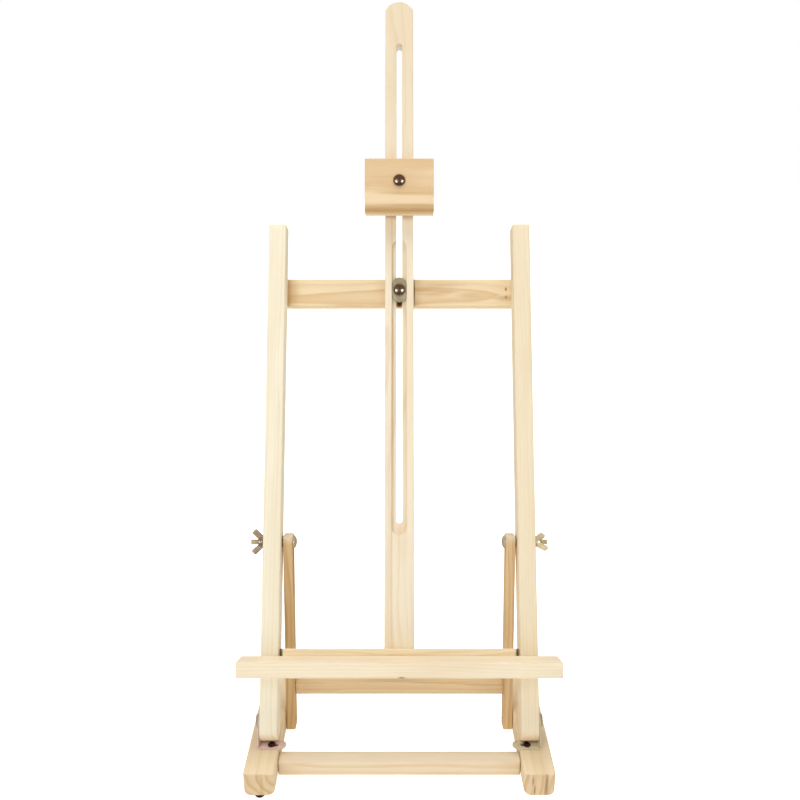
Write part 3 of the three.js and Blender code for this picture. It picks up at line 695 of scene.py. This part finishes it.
# the tongue's ends, from `dark` outward, are painted near black as painted shade in the gap beside each
# upright
TONGUE = dict(thick=2.2, reach=121.8, dark=120.6)
SHELF = dict(back=-11.0, depth=27.9, low=50.3, top=66.2, reach=160.0)
CLAMP = dict(back=-4.1, depth=18.0, low=528.6, high=587.0, reach=37.0, bolt=562.0)
STRUT = dict(x=116.0, half=(5.0, 7.5), foot=-9.5, top=202.8)
STRUT_OUT = STRUT["x"] + STRUT["half"][0]
PROP_BAR = dict(front=-4.5, depth=9.5, low=29.0, height=13.8, reach=110.7)
STRUT_SLOT = dict(low=136.0, high=199.3, width=7.6)
SIDE_BOLT = (4.7, 178.5)
SIDE_BOLT_TIP = 155
WASHER = (6.5, 1.2)  # radius and thickness
BIG_WASHER = (7.5, 1.2)
SPARE = dict(mast=16, clamp=13.7)  # how far each bolt stands out behind
SPACER_RADIUS = 6.0
SLOT = dict(low=197.3, high=729.0, width=6.4)
RECESS = dict(low=186.0, high=502.0, width=15.8, depth=3.0)
SLOT_PLATE = dict(length=27.6, width=15.0, thick=1.5)
SLOT_PLATE_FRONT = MAST["front"] + RECESS["depth"] - GAP - SLOT_PLATE["thick"]
EYE = (50.3, 49.0, 9.0)  # y, z and radius
PLATE = dict(out=142.05, inner=114.0, low=29.3, thick=1.0, bend=2.1, front=32.5, back=59.3, tab=5.25)
TAB_SCREW = dict(x=128.5, y=37.4, z=30.6)
TAB_SLOT = (122.0, 131.8, 3.6)  # inner end, outer end and width
PIVOT_BORE = 2.4
STRUT_BORE = 2.35
PIVOT = dict(y=89.8, z=16.6, tip=110.6)
RAIL_SCREWS = {"low": -8, "high": 8}                # height from the rail's middle
MAST_SCREWS = ((-8, 54), (8, 64))                   # x and z
SHELF_SCREWS = ((-80, 58.25), (80, 58.25))
# domed screws: head radius and height, shank radius and length; flat ones: length
TAB_PAN = (3.8, 2.0, 1.7, 11)
PIVOT_PAN = (5.5, 2.6, 2.2)
HINGE_PAN = (7.2, 3.0, SHAFT, 16.5)
FLAT = dict(bar=37, rail=23, mast=17, shelf=21, prop_bar=26)
THREADED = dict(side=20, mast=22, clamp=20)  # length of each bolt's thread
NUT_TURN = dict(left=0, right=-54, mast=25, clamp=70)  # degrees: how each wing nut was left


def name_of(side):
    """The painter's left is side -1, at -x; the right is side 1."""
    return "left" if side < 0 else "right"


def spot(at, x, y, z, direction):
    """A place on an assembly with local +z along a direction."""
    return at @ moved(x, y, z) @ toward(direction)


# ---- base ----

def bar_screw(side, y):
    """Where a crossbar's screw goes in through the runner's outer face."""
    outer = side * RUNNER_OUT
    return spot(BASE_AT, outer, y + BAR["depth"] / 2, BAR["low"] + BAR["height"] / 2, (-side, 0, 0))


def make_runner(side, node):
    half = RUNNER["half"]
    front = -RUNNER["length"] / 2
    marks = {
        -1: [((0, 0, front), (60, 60, 3), 0.3, (196, 168, 124)),
             ((3, 0, front), (3, 30, 3), 0.4, (190, 156, 96))],
        1: [((0, 0, front), (60, 60, 3), 0.25, (206, 176, 136)),
            ((6, 0, front), (2.4, 30, 3), 0.8, (160, 118, 86)),
            ((-7.2, -6, front), (1.4, 10, 3), 0.75, (150, 116, 80)),
            ((-5.0, 6, front), (1.4, 10, 3), 0.75, (150, 116, 80))],
    }[side]
    # painted shade: the wood seen through the hinge tab's screw slot, darkened as if in shadow
    marks.append(((-side * 13, -half[1], front + TAB_SCREW["y"]), (4, 4, 3), 0.9, (74, 42, 28)))
    tree = {-1: dict(pith=(52, -30), ring=8.5, seed=3, grain=0.22),
            1: dict(pith=(72, 12), ring=8.0, seed=8, grain=0.26)}[side]
    material = wood(f"pine_{node}", (240, 221, 187), (216, 184, 134), half,
                    spots=marks, ends=0.9, **tree)
    at = BASE_AT @ moved(side * RUNNER["x"], 0, RUNNER["mid_z"]) @ ALONG_Y
    ends = RoundCorners(RUNNER["corner"], 0, RUNNER["length"])
    obj = board(f"{node}_wood", at, half, 0, RUNNER["length"], (3.5, 3.5, 1.8, 1.8), material, 0.8, ends,
                20 + side)
    pivot = spot(BASE_AT, side * RUNNER_OUT, PIVOT["y"], PIVOT["z"], (-side, 0, 0))
    cutters = [sink(bar_screw(side, y)) for y in BARS.values()]
    cutters.append(drill(pivot, PIVOT_BORE, -2, 34))
    return settle(boolean(obj, cutters), node)


def make_bar(which):
    node = f"base_{which}_bar"
    half = (BAR["depth"] / 2, BAR["height"] / 2)
    reach = BAR["reach"]
    # painted shade: both ends darkened, standing for the shade in the joint against each runner
    marks = [((0, 0, side * reach), (30, 30, 1.5), 0.8, (124, 92, 48)) for side in (-1, 1)]
    # painted light: the top face made paler, as if lit from above
    marks.append(((0, half[1], 0), (14, 4, 400), 0.75, (253, 240, 217)))
    material = wood(f"pine_{node}", (240, 221, 189), (216, 184, 136), half, pith=(-60, 18),
                    ring=3.4, seed=5 if which == "front" else 14, grain=0.5, spots=marks)
    at = BASE_AT @ moved(0, BARS[which] + half[0], BAR["low"] + half[1]) @ ALONG_X
    obj = board(f"{node}_wood", at, half, -reach, reach, (1.4,) * 4, material, 0.4, seed=31)
    return settle(obj, node)


def degrees(*turns):
    return [radians(d) for d in turns]


def make_hinge_plate(side, node):
    """A pressed strip: an eye beside the upright and a round-ended tab across the runner.

    It is built for the right side and turned over for the left.
    """
    out, inner, t, low, bend = (PLATE[key] for key in ("out", "inner", "thick", "low", "bend"))
    eye_y, eye_z, eye = EYE
    # the strip seen from the front: outer face round the bend and up, then back down inside
    strip = [(inner, low), (out - bend, low)]
    strip += [(out - bend + bend * sin(a), low + bend - bend * cos(a))
              for a in degrees(18, 36, 54, 72, 90)]
    strip += [(out, eye_z + eye), (out - t, eye_z + eye), (out - t, low + bend)]
    inside = bend - t
    strip += [(out - bend + inside * sin(a), low + bend - inside * cos(a))
              for a in degrees(72, 54, 36, 18, 0)]
    strip.append((inner, low + t))
    stand = BASE_AT @ TO_FRONT
    obj = prism(f"{node}_pressed", stand, strip, -PLATE["back"], -PLATE["front"], PLATES[side])
    # what is cut away beside the round-ended tab
    r, front = PLATE["tab"], PLATE["front"]
    past = out - t - 0.4
    tab = [(inner + r - r * sin(a), front + r - r * cos(a)) for a in degrees(*range(0, 181, 15))]
    waste = [(inner - 3, 30), (inner + r, 30), *tab, (past, front + 2 * r), (past, 66), (inner - 3, 66)]
    cuts = [prism("cutter", BASE_AT, waste, low - 2, low + t + 0.35)]
    # what is cut away round the eye, seen from the side
    arc = [(eye_y + eye * cos(a), eye_z + eye * sin(a)) for a in degrees(*range(0, 163, 9))]
    sky = [(70, 24), (57, 24), (57, low), (PLATE["back"], 47), *arc, (front, 35.3), (front, 24), (24, 24),
           (24, 70), (70, 70)]
    cuts.append(prism("cutter", BASE_AT @ ALONG_X, sky, out - t - 2, out + 2))
    boolean(obj, cuts)
    tuned(obj.modifiers.new("ease", "BEVEL"), width=0.3, segments=2, limit_method="ANGLE",
          angle_limit=radians(50))
    bake_down(obj)
    screw_slot = [(y, x) for x, y in obround(TAB_SCREW["y"], *TAB_SLOT)]
    holes = [prism("cutter", BASE_AT, screw_slot[::-1], low - 2, low + t + 2),
             drill(spot(BASE_AT, out + 2, eye_y, eye_z, (-1, 0, 0)), BORE, 0, 5)]
    boolean(obj, holes)
    if side < 0:
        obj.data.transform(obj.matrix_world)
        obj.data.transform(Matrix.Scale(-1, 4, (1, 0, 0)))
        obj.data.flip_normals()
        obj.data.transform(stand.inverted())
        shade_object(obj)
    return settle(obj, node)


def make_glide(node):
    low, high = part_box(node)
    middle = (low + high) / 2
    at = moved(middle.x, middle.y, 0) @ Matrix.Scale(MM, 4)
    radius, height = GLIDE
    profile = [(0, 0), (radius - 1.3, 0), (radius - 0.5, 0.35), (radius - 0.1, 1.1), (radius, 2.0),
               (radius, height), (0, height)]
    return settle(lathe(f"{node}_moulded", at, profile, FEET), node)


def make_base():
    for side in (-1, 1):
        tag = name_of(side)
        make_runner(side, f"runner_{tag}")
        make_hinge_plate(side, f"hinge_plate_{tag}")
        screw = spot(BASE_AT, side * TAB_SCREW["x"], TAB_SCREW["y"], TAB_SCREW["z"], (0, 0, -1))
        pan_screw(f"hinge_plate_screw_{tag}", screw, *TAB_PAN, BLACK, 1.9)
        for which, y in BARS.items():
            sunk_screw(f"{which}_bar_screw_{tag}", bar_screw(side, y), FLAT["bar"])
        outer = RUNNER_OUT + GAP
        pivot = spot(BASE_AT, side * outer, PIVOT["y"], PIVOT["z"], (-side, 0, 0))
        pan_screw(f"prop_pivot_screw_{tag}", pivot, *PIVOT_PAN, outer - PIVOT["tip"], NICKEL)
        for where in ("front", "rear"):
            make_glide(f"glide_{where}_{tag}")
    for which in BARS:
        make_bar(which)


# ---- leaning frame ----

def behind(x, z, back):
    """A place on the back of a piece of the leaning frame, looking into it."""
    return spot(FRAME_AT, x, back, z, (0, -1, 0))


def make_upright(side, node):
    half = UPRIGHT["half"]
    tree = {
        -1: dict(pale=(248, 240, 217), late=(231, 211, 172), pith=(-45, 26), ring=3.6, seed=1, grain=0.34),
        1: dict(pale=(243, 229, 199), late=(225, 198, 154), pith=(52, 22), ring=3.2, seed=2, grain=0.42),
    }[side]
    length = UPRIGHT["top"] - UPRIGHT["end"] + half[1]
    foot = [((0, -half[1], -length / 2), (60, 18, 13), 0.5, (222, 190, 144))]
    material = wood(f"pine_{node}", half=half, spots=foot, ends=0.85, **tree)
    end = RoundEnd(1, half[1], half[1], UPRIGHT["end"], -1, tip=1.6)
    at = FRAME_AT @ moved(side * UPRIGHT["x"], 0, 0)
    obj = board(f"{node}_wood", at, half, end.limit, UPRIGHT["top"], (1.1,) * 4, material, 0.9, end,
                40 + side)
    inner = side * (UPRIGHT["x"] - half[0])
    y, z = SIDE_BOLT
    cutters = [drill(spot(FRAME_AT, inner, y, z, (side, 0, 0)), BORE, -2, 22),
               drill(spot(FRAME_AT, inner, 0, 0, (side, 0, 0)), BORE, 4, 22)]
    return settle(boolean(obj, cutters), node)


def make_top_rail():
    node = "top_rail"
    half = (TOP_RAIL["depth"] / 2, TOP_RAIL["half"])
    marks = [
        ((-6, -3, 78), (9, 5, 22), 0.4, (198, 154, 100)),
        ((-6, 3, 26), (9, 2.4, 16), 0.45, (204, 158, 102)),
        ((-6, 1, 52), (9, 2.4, 18), 0.45, (204, 158, 102)),
        ((-half[0], 4, 117), (3, 3.2, 1.8), 0.8, (120, 86, 50)),
        ((-half[0], -5, 117), (3, 2.8, 1.8), 0.8, (120, 86, 50)),
        # painted shadow that the left upright casts on the rail's front at its left end
        ((-half[0], 0, -122), (6, 40, 5.5), 0.6, (188, 144, 92)),
        ((-6, 4, 36), (9, 12, 30), 0.4, (204, 168, 120)),
        ((-6, -6, 118), (9, 5, 22), 0.5, (186, 142, 92)),
        ((-6, 9, 55), (9, 3.2, 30), 0.35, (202, 160, 108)),
        ((-6, -2, 40), (9, 3, 20), 0.3, (206, 166, 112)),
        ((-6, 0, -118), (9, 20, 12), 0.4, (208, 166, 112)),
        # painted shadow: a dark line on the rail's front just right of the mast, where the mast's shadow
        # falls
        ((-half[0], 0, 16.6), (3, 30, 1.2), 0.85, (104, 74, 38)),
        # painted shade: the rail's lower front behind the mast slot, seen through the slot as if in shadow
        ((-half[0], -12, 0), (8, 11, 6), 0.97, (104, 56, 14)),
    ]
    material = wood(f"pine_{node}", (240, 220, 183), (216, 180, 128), half,
                    pith=(34, -7), ring=3.8, seed=11, grain=0.75, spots=marks)
    at = FRAME_AT @ moved(0, TOP_RAIL["front"] + half[0], TOP_RAIL["mid"]) @ ALONG_X
    reach = TOP_RAIL["reach"]
    obj = board(f"{node}_wood", at, half, -reach, reach, (1.2,) * 4, material, 0.7, seed=52)
    cutters = [drill(behind(0, TOP_RAIL["mid"], RAIL_BACK), BORE, -2, 18)]
    for side in (-1, 1):
        for rise in RAIL_SCREWS.values():
            cutters.append(sink(behind(side * UPRIGHT["x"], TOP_RAIL["mid"] + rise, RAIL_BACK)))
    return settle(boolean(obj, cutters), node)


def make_slot_plate():
    """The pressed plate, round at both ends, that the mast bolt's head bears on."""
    node = "mast_slot_plate"
    thick, length, width = (SLOT_PLATE[key] for key in ("thick", "length", "width"))
    at = FRAME_AT @ moved(0, SLOT_PLATE_FRONT + thick, 0) @ TO_FRONT
    low = TOP_RAIL["mid"] - length / 2
    bm = bmesh.new()
    loops = []
    for z, inset in ((0, 0.35), (0.3, 0.05), (1.0, 0.0), (1.35, 0.15), (thick, 0.5)):
        outline = obround(0, low + inset, low + length - inset, width - 2 * inset, 16)
        loops.append([bm.verts.new((x, y, z)) for x, y in outline])
    skin(bm, loops)
    obj = to_object(f"{node}_pressed", bm, at, OLIVE)
    hole = drill(at @ moved(0, TOP_RAIL["mid"], 0), WASHER_BORE, -1, 3)
    return settle(boolean(obj, [hole]), node)


def make_side_clamp(side):
    """The bolt through a strut's slot and an upright, with what is threaded on it, inside to out."""
    tag = name_of(side)

    def place(x):
        return spot(FRAME_AT, side * x, *SIDE_BOLT, (side, 0, 0))

    head = STRUT["x"] - STRUT["half"][0] - GAP
    carriage_bolt(f"prop_bolt_{tag}", place(head), SIDE_BOLT_TIP - head, THREADED["side"], PALE_BOLT)
    inner = STRUT_OUT + GAP
    thick = UPRIGHT["x"] - UPRIGHT["half"][0] - GAP - inner
    washer(f"prop_spacer_{tag}", place(inner), SPACER_RADIUS, thick)
    outer = UPRIGHT_OUT + GAP
    washer(f"prop_washer_{tag}", place(outer), *WASHER)
    wing_nut(f"prop_wing_nut_{tag}", place(outer + WASHER[1] + GAP), NUT_TURN[tag],
             CAST if side < 0 else CAST_PAINTED_LIGHT)


def bolt_up(tag, front, back, z, ring):
    """A bolt from front to back on the middle line, with its washer and wing nut behind."""
    def place(y):
        return spot(FRAME_AT, 0, y, z, (0, 1, 0))

    carriage_bolt(f"{tag}_bolt", place(front), back - front + SPARE[tag], THREADED[tag], NICKEL)
    washer(f"{tag}_washer", place(back + GAP), *ring)
    wing_nut(f"{tag}_wing_nut", place(back + GAP + ring[1] + GAP), NUT_TURN[tag], CAST)


def make_frame():
    for side in (-1, 1):
        tag = name_of(side)
        make_upright(side, f"upright_{tag}")
        cheek = side * (UPRIGHT_OUT + PLATE["thick"] + 2 * GAP)
        hinge = spot(FRAME_AT, cheek, 0, 0, (-side, 0, 0))
        pan_screw(f"hinge_screw_{tag}", hinge, *HINGE_PAN, PALE_SCREW)
        for where, rise in RAIL_SCREWS.items():
            place = behind(side * UPRIGHT["x"], TOP_RAIL["mid"] + rise, RAIL_BACK)
            sunk_screw(f"rail_screw_{where}_{tag}", place, FLAT["rail"])
        make_side_clamp(side)
    make_top_rail()
    make_slot_plate()
    bolt_up("mast", SLOT_PLATE_FRONT - GAP, RAIL_BACK, TOP_RAIL["mid"], WASHER)


# ---- carriage ----

def make_mast():
    node = "mast"
    thick = (MAST["back"] - MAST["front"]) / 2
    half = (MAST["half"], thick)
    radius = (half[0] ** 2 + MAST["crown"] ** 2) / (2 * MAST["crown"])
    end = RoundEnd(0, half[0], radius, MAST["shoulder"] + MAST["crown"] - radius, 1, tip=2.5)
    middle = (MAST["low"] + end.limit) / 2
    painted_shade_at = CLAMP["low"] - middle
    slot_end = SLOT["high"] - middle
    marks = [
        ((4, -thick, -60), (1.2, 6, 60), 0.3, (196, 160, 118)),
        # painted shade: a dark line along the recess's left wall, where the wall's shadow falls
        ((-RECESS["width"] / 2, -thick + 1.5, (RECESS["low"] + RECESS["high"]) / 2 - middle),
         (1.4, 3.5, 420), 0.6, (186, 150, 108)),
        ((-3.5, -thick, 150), (1.0, 6, 40), 0.25, (204, 170, 126)),
        # painted shadow: a dark strip on the mast's front just below the clamp block, where the block's
        # shadow falls
        ((0, -thick, painted_shade_at), (30, 3, 5), 0.4, (176, 128, 74)),
        ((0, -thick, 360), (80, 60, 300), 0.34, (196, 176, 134)),
        # painted light: the slot's upper end wall kept as pale as the lit front, with the end grain barely
        # darkened (ends=0.1)
        ((0, 0.2 * thick, slot_end - 1.5), (8, 1.4 * thick, 9), 1.0, (255, 253, 246)),
    ]
    material = wood(f"pine_{node}", (246, 233, 208), (226, 199, 158), half,
                    pith=(-18, 48), ring=2.9, seed=6, grain=0.38, spots=marks, ends=0.1)
    at = FRAME_AT @ moved(0, (MAST["front"] + MAST["back"]) / 2, 0)
    obj = board(f"{node}_wood", at, half, MAST["low"], end.limit, (0.9,) * 4, material, 0.7, end, 61)
    stand = FRAME_AT @ TO_FRONT
    back, front = -MAST["back"], -MAST["front"]
    cutters = [slot_cutter(stand, SLOT, (back, front), 0.4),
               slot_cutter(stand, RECESS, (front - RECESS["depth"], front), 0.3, 16)]
    cutters += [sink(behind(x, z, MAST["back"])) for x, z in MAST_SCREWS]
    return settle(boolean(obj, cutters), node)


def make_guide():
    node = "guide_rail"
    half = (GUIDE["thick"] / 2, (GUIDE["top"] - GUIDE["low"]) / 2)
    # painted shade: the tongue's ends near black, standing for the deep shade in the gap beside each upright
    marks = [((half[0], 0, side * TONGUE["dark"]), (9, 60, 2.6), 1.0, (40, 14, 5)) for side in (-1, 1)]
    material = wood(f"pine_{node}", (250, 234, 200), (228, 198, 150), half,
                    pith=(-40, -12), ring=3.0, seed=9, grain=0.55, spots=marks)
    at = FRAME_AT @ moved(0, GUIDE["front"] + half[0], GUIDE["low"] + half[1]) @ ALONG_X
    reach = GUIDE["reach"]
    obj = board(f"{node}_wood", at, half, -reach, reach, (0.8,) * 4, material, 0.5, seed=71)
    thin = (TONGUE["thick"] / 2, half[1] - 0.1)
    set_back = at @ moved(half[0] - thin[0] - 0.05, 0, 0)
    reach = TONGUE["reach"]
    boolean(obj, [board("tongue", set_back, thin, -reach, reach, (0.5,) * 4, None, 0.3)], "UNION")
    cutters = [sink(behind(x, z, GUIDE_BACK)) for x, z in SHELF_SCREWS]
    return settle(boolean(obj, cutters), node)


def make_shelf():
    node = "shelf_bar"
    half = (SHELF["depth"] / 2, (SHELF["top"] - SHELF["low"]) / 2)
    marks = [((-12, -7, 2), (5, 1.6, 5.5), 0.85, (84, 58, 36))]
    material = wood(f"pine_{node}", (247, 233, 205), (224, 197, 154), half,
                    pith=(-30, -46), ring=3.1, seed=4, grain=0.4, spots=marks)
    at = FRAME_AT @ moved(0, SHELF["back"] - half[0], SHELF["low"] + half[1]) @ ALONG_X
    reach = SHELF["reach"]
    obj = board(f"{node}_wood", at, half, -reach, reach, (0.9, 1.4, 2.4, 0.9), material, 0.9, seed=83)
    return settle(obj, node)


def make_clamp():
    node = "clamp_block"
    half = (CLAMP["depth"] / 2, (CLAMP["high"] - CLAMP["low"]) / 2)
    marks = [
        # painted shade: the lower front darkened where the rounded lower edge turns away from the light
        # above
        ((-half[0], -half[1], 0), (14, 9.5, 300), 0.85, (186, 146, 90)),
        ((-half[0], -half[1] + 5.5, 18), (8, 2.4, 50), 0.4, (182, 144, 84)),
        ((-half[0], -half[1] + 19, 4), (8, 2.2, 44), 0.4, (204, 166, 112)),
    ]
    material = wood(f"pine_{node}", (238, 214, 177), (210, 173, 122), half,
                    pith=(-70, 12), ring=6.5, seed=13, grain=0.75, spots=marks)
    at = FRAME_AT @ moved(0, CLAMP["back"] - half[0], CLAMP["low"] + half[1]) @ ALONG_X
    reach = CLAMP["reach"]
    obj = board(f"{node}_wood", at, half, -reach, reach, (0.9, 1.6, 1.8, 0.9), material, 0.45, seed=91,
                pitch=4)
    front = CLAMP["back"] - CLAMP["depth"]
    settle(boolean(obj, [drill(spot(FRAME_AT, 0, front, CLAMP["bolt"], (0, 1, 0)), BORE, -2, 22)]), node)
    bolt_up("clamp", front - GAP, MAST["back"], CLAMP["bolt"], BIG_WASHER)


def make_carriage():
    make_mast()
    make_guide()
    make_shelf()
    make_clamp()
    for number, (x, z) in enumerate(MAST_SCREWS, 1):
        sunk_screw(f"mast_screw_{number}", behind(x, z, MAST["back"]), FLAT["mast"])
    for number, (x, z) in enumerate(SHELF_SCREWS, 1):
        sunk_screw(f"shelf_screw_{number}", behind(x, z, GUIDE_BACK), FLAT["shelf"])


# ---- prop frame ----

def make_strut(side, node, screw):
    half = STRUT["half"]
    top = ((0, 0, (STRUT["top"] - STRUT["foot"]) / 2), (40, 40, 9), 0.7, (230, 216, 192))
    pale, late = ((221, 188, 138), (186, 144, 87)) if side < 0 else ((234, 205, 160), (200, 160, 108))
    material = wood(f"pine_{node}", pale, late, half, pith=(25 * side, 30), ring=2.8,
                    seed=16 + side, grain=0.6, spots=[top])
    at = PROP_AT @ moved(side * STRUT["x"], 0, 0)
    obj = board(f"{node}_wood", at, half, STRUT["foot"], STRUT["top"], (1.0,) * 4, material, 0.8, seed=97)
    pivot = spot(PROP_AT, side * STRUT_OUT, 0, 0, (-side, 0, 0))
    lie = PROP_AT @ ALONG_X @ moved(0, 0, side * STRUT["x"])
    cutters = [slot_cutter(lie, STRUT_SLOT, (-half[0], half[0]), 0.4), drill(pivot, STRUT_BORE, -2, 12),
               sink(screw)]
    return settle(boolean(obj, cutters), node)


def make_prop():
    half = (PROP_BAR["depth"] / 2, PROP_BAR["height"] / 2)
    y, z = PROP_BAR["front"] + half[0], PROP_BAR["low"] + half[1]
    for side in (-1, 1):
        tag = name_of(side)
        screw = spot(PROP_AT, side * STRUT_OUT, y, z, (-side, 0, 0))
        make_strut(side, f"strut_{tag}", screw)
        sunk_screw(f"prop_bar_screw_{tag}", screw, FLAT["prop_bar"])
    node, reach = "prop_bar", PROP_BAR["reach"]
    material = wood(f"pine_{node}", (236, 210, 168), (206, 166, 114), half, pith=(-34, 20),
                    ring=3.0, seed=19, grain=0.5)
    at = PROP_AT @ moved(0, y, z) @ ALONG_X
    settle(board(f"{node}_wood", at, half, -reach, reach, (1.0,) * 4, material, 0.4, seed=99), node)


# ---- studio ----

def make_floor():
    """A pale floor, a little brighter to the camera than the light that it gives off."""
    m = Mat("studio_floor")
    at = m.millimetres()
    grain = m.noise(at, (40.0, 40.0, 40.0), 2.0)
    m.set(Base_Color=m.mix(grain, (0.9, 0.9, 0.9, 1), (0.93, 0.93, 0.93, 1)), Roughness=0.8)
    seen = m.node("ShaderNodeLightPath").outputs["Is Camera Ray"]
    m.set(Emission_Color=(1, 1, 1, 1), Emission_Strength=m.math("MULTIPLY_ADD", seen, 0.5, 0.35))
    bm = bmesh.new()
    bmesh.ops.create_grid(bm, x_segments=8, y_segments=8, size=6)
    floor = to_object("studio_floor", bm, Matrix.Identity(4), m.mat)
    floor.visible_glossy = False


def make_light(name, place, aim, size, energy, colour):
    """A soft box that lights the wood but doesn't show in the metal."""
    data = tuned(bpy.data.lights.new(name, "AREA"), shape="RECTANGLE", size=size[0], size_y=size[1],
                 energy=energy, color=colour)
    lamp = bpy.data.objects.new(name, data)
    bpy.context.scene.collection.objects.link(lamp)
    lamp.location = place
    lamp.rotation_euler = (Vector(aim) - Vector(place)).to_track_quat("-Z", "Y").to_euler()
    lamp.visible_glossy = False


# name: place, aim, size, watts, colour
LIGHTS = {
    "key": ((-0.75, -1.25, 1.75), (0, 0, 0.35), (0.7, 0.7), 7.0, (1.0, 0.98, 0.95)),
    "ceiling": ((0, 0.25, 2.3), (0, 0.1, 0), (1.6, 1.2), 25.0, (1.0, 0.99, 0.98)),
    "left_box": ((-1.0, -1.3, 0.3), (0, 0, 0.4), (0.5, 0.5), 1.6, (1, 1, 1)),
    "right_box": ((1.0, -1.3, 0.3), (0, 0, 0.4), (0.5, 0.5), 1.6, (1, 1, 1)),
}
# What the metal mirrors: a warm dim room, darkest below, and two soft boxes. SOFT_BOX points to the
# right one, and BOX_EDGE is the cosine at which a box fades in and is full.
ROOM_LOW, ROOM_HIGH, ROOM_RISE = (0.17, 0.13, 0.10, 1), (0.25, 0.16, 0.11, 1), 0.3
SOFT_BOX = (0.552, -0.759, 0.345)
BOX_EDGE = (0.968, 0.984)
BOX_COLOUR = (6.0, 5.8, 5.5, 1)


def make_world():
    """White to the camera, an even fill on the wood, and a room for the metal to mirror."""
    world = bpy.data.worlds.new("studio")
    world.use_nodes = True
    w = Wiring(world.node_tree)
    x, y, z = w.split(w.node("ShaderNodeTexCoord").outputs["Generated"])
    ramp = w.node("ShaderNodeValToRGB")
    w.put(ramp.inputs[0], z)
    for element, place, colour in zip(ramp.color_ramp.elements, (0, ROOM_RISE), (ROOM_LOW, ROOM_HIGH)):
        element.position, element.color = place, colour
    folded = w.fill(w.node("ShaderNodeCombineXYZ"), w.math("ABSOLUTE", x), y, z)
    facing = w.vec("DOT_PRODUCT", folded, SOFT_BOX)
    mirrored = w.mix(w.span(facing, *BOX_EDGE, easing="LINEAR"), ramp.outputs[0], BOX_COLOUR)

    def background(colour, strength):
        return w.fill(w.node("ShaderNodeBackground"), colour, strength)

    ray = w.node("ShaderNodeLightPath").outputs
    lit = w.fill(w.node("ShaderNodeMixShader"), ray["Is Glossy Ray"],
                 background((1.0, 0.985, 0.96, 1), 0.48), background(mirrored, 1.0))
    seen = w.fill(w.node("ShaderNodeMixShader"), ray["Is Camera Ray"], lit, background((1, 1, 1, 1), 1.0))
    w.put(w.node("ShaderNodeOutputWorld").inputs[0], seen)
    bpy.context.scene.world = world


CAMERA = dict(lens=34.44, sensor_width=36.0, shift_x=0.0009, shift_y=-0.0086, clip_start=0.01)
CAMERA_BACK, CAMERA_UP, CAMERA_TILT = 0.57156, 0.62205, 70.503  # metres, metres, degrees


def make_camera():
    cam = bpy.data.objects.new("camera", tuned(bpy.data.cameras.new("camera"), **CAMERA))
    bpy.context.scene.collection.objects.link(cam)
    cam.location = (0.0, FRONT_Y - CAMERA_BACK, CAMERA_UP)
    cam.rotation_euler = (radians(CAMERA_TILT), 0.0, 0.0)
    bpy.context.scene.camera = cam


make_base()
make_frame()
make_carriage()
make_prop()
make_floor()
make_world()
make_camera()
for light, settings in LIGHTS.items():
    make_light(light, *settings)
bpy.context.scene.view_settings.view_transform = "Standard"
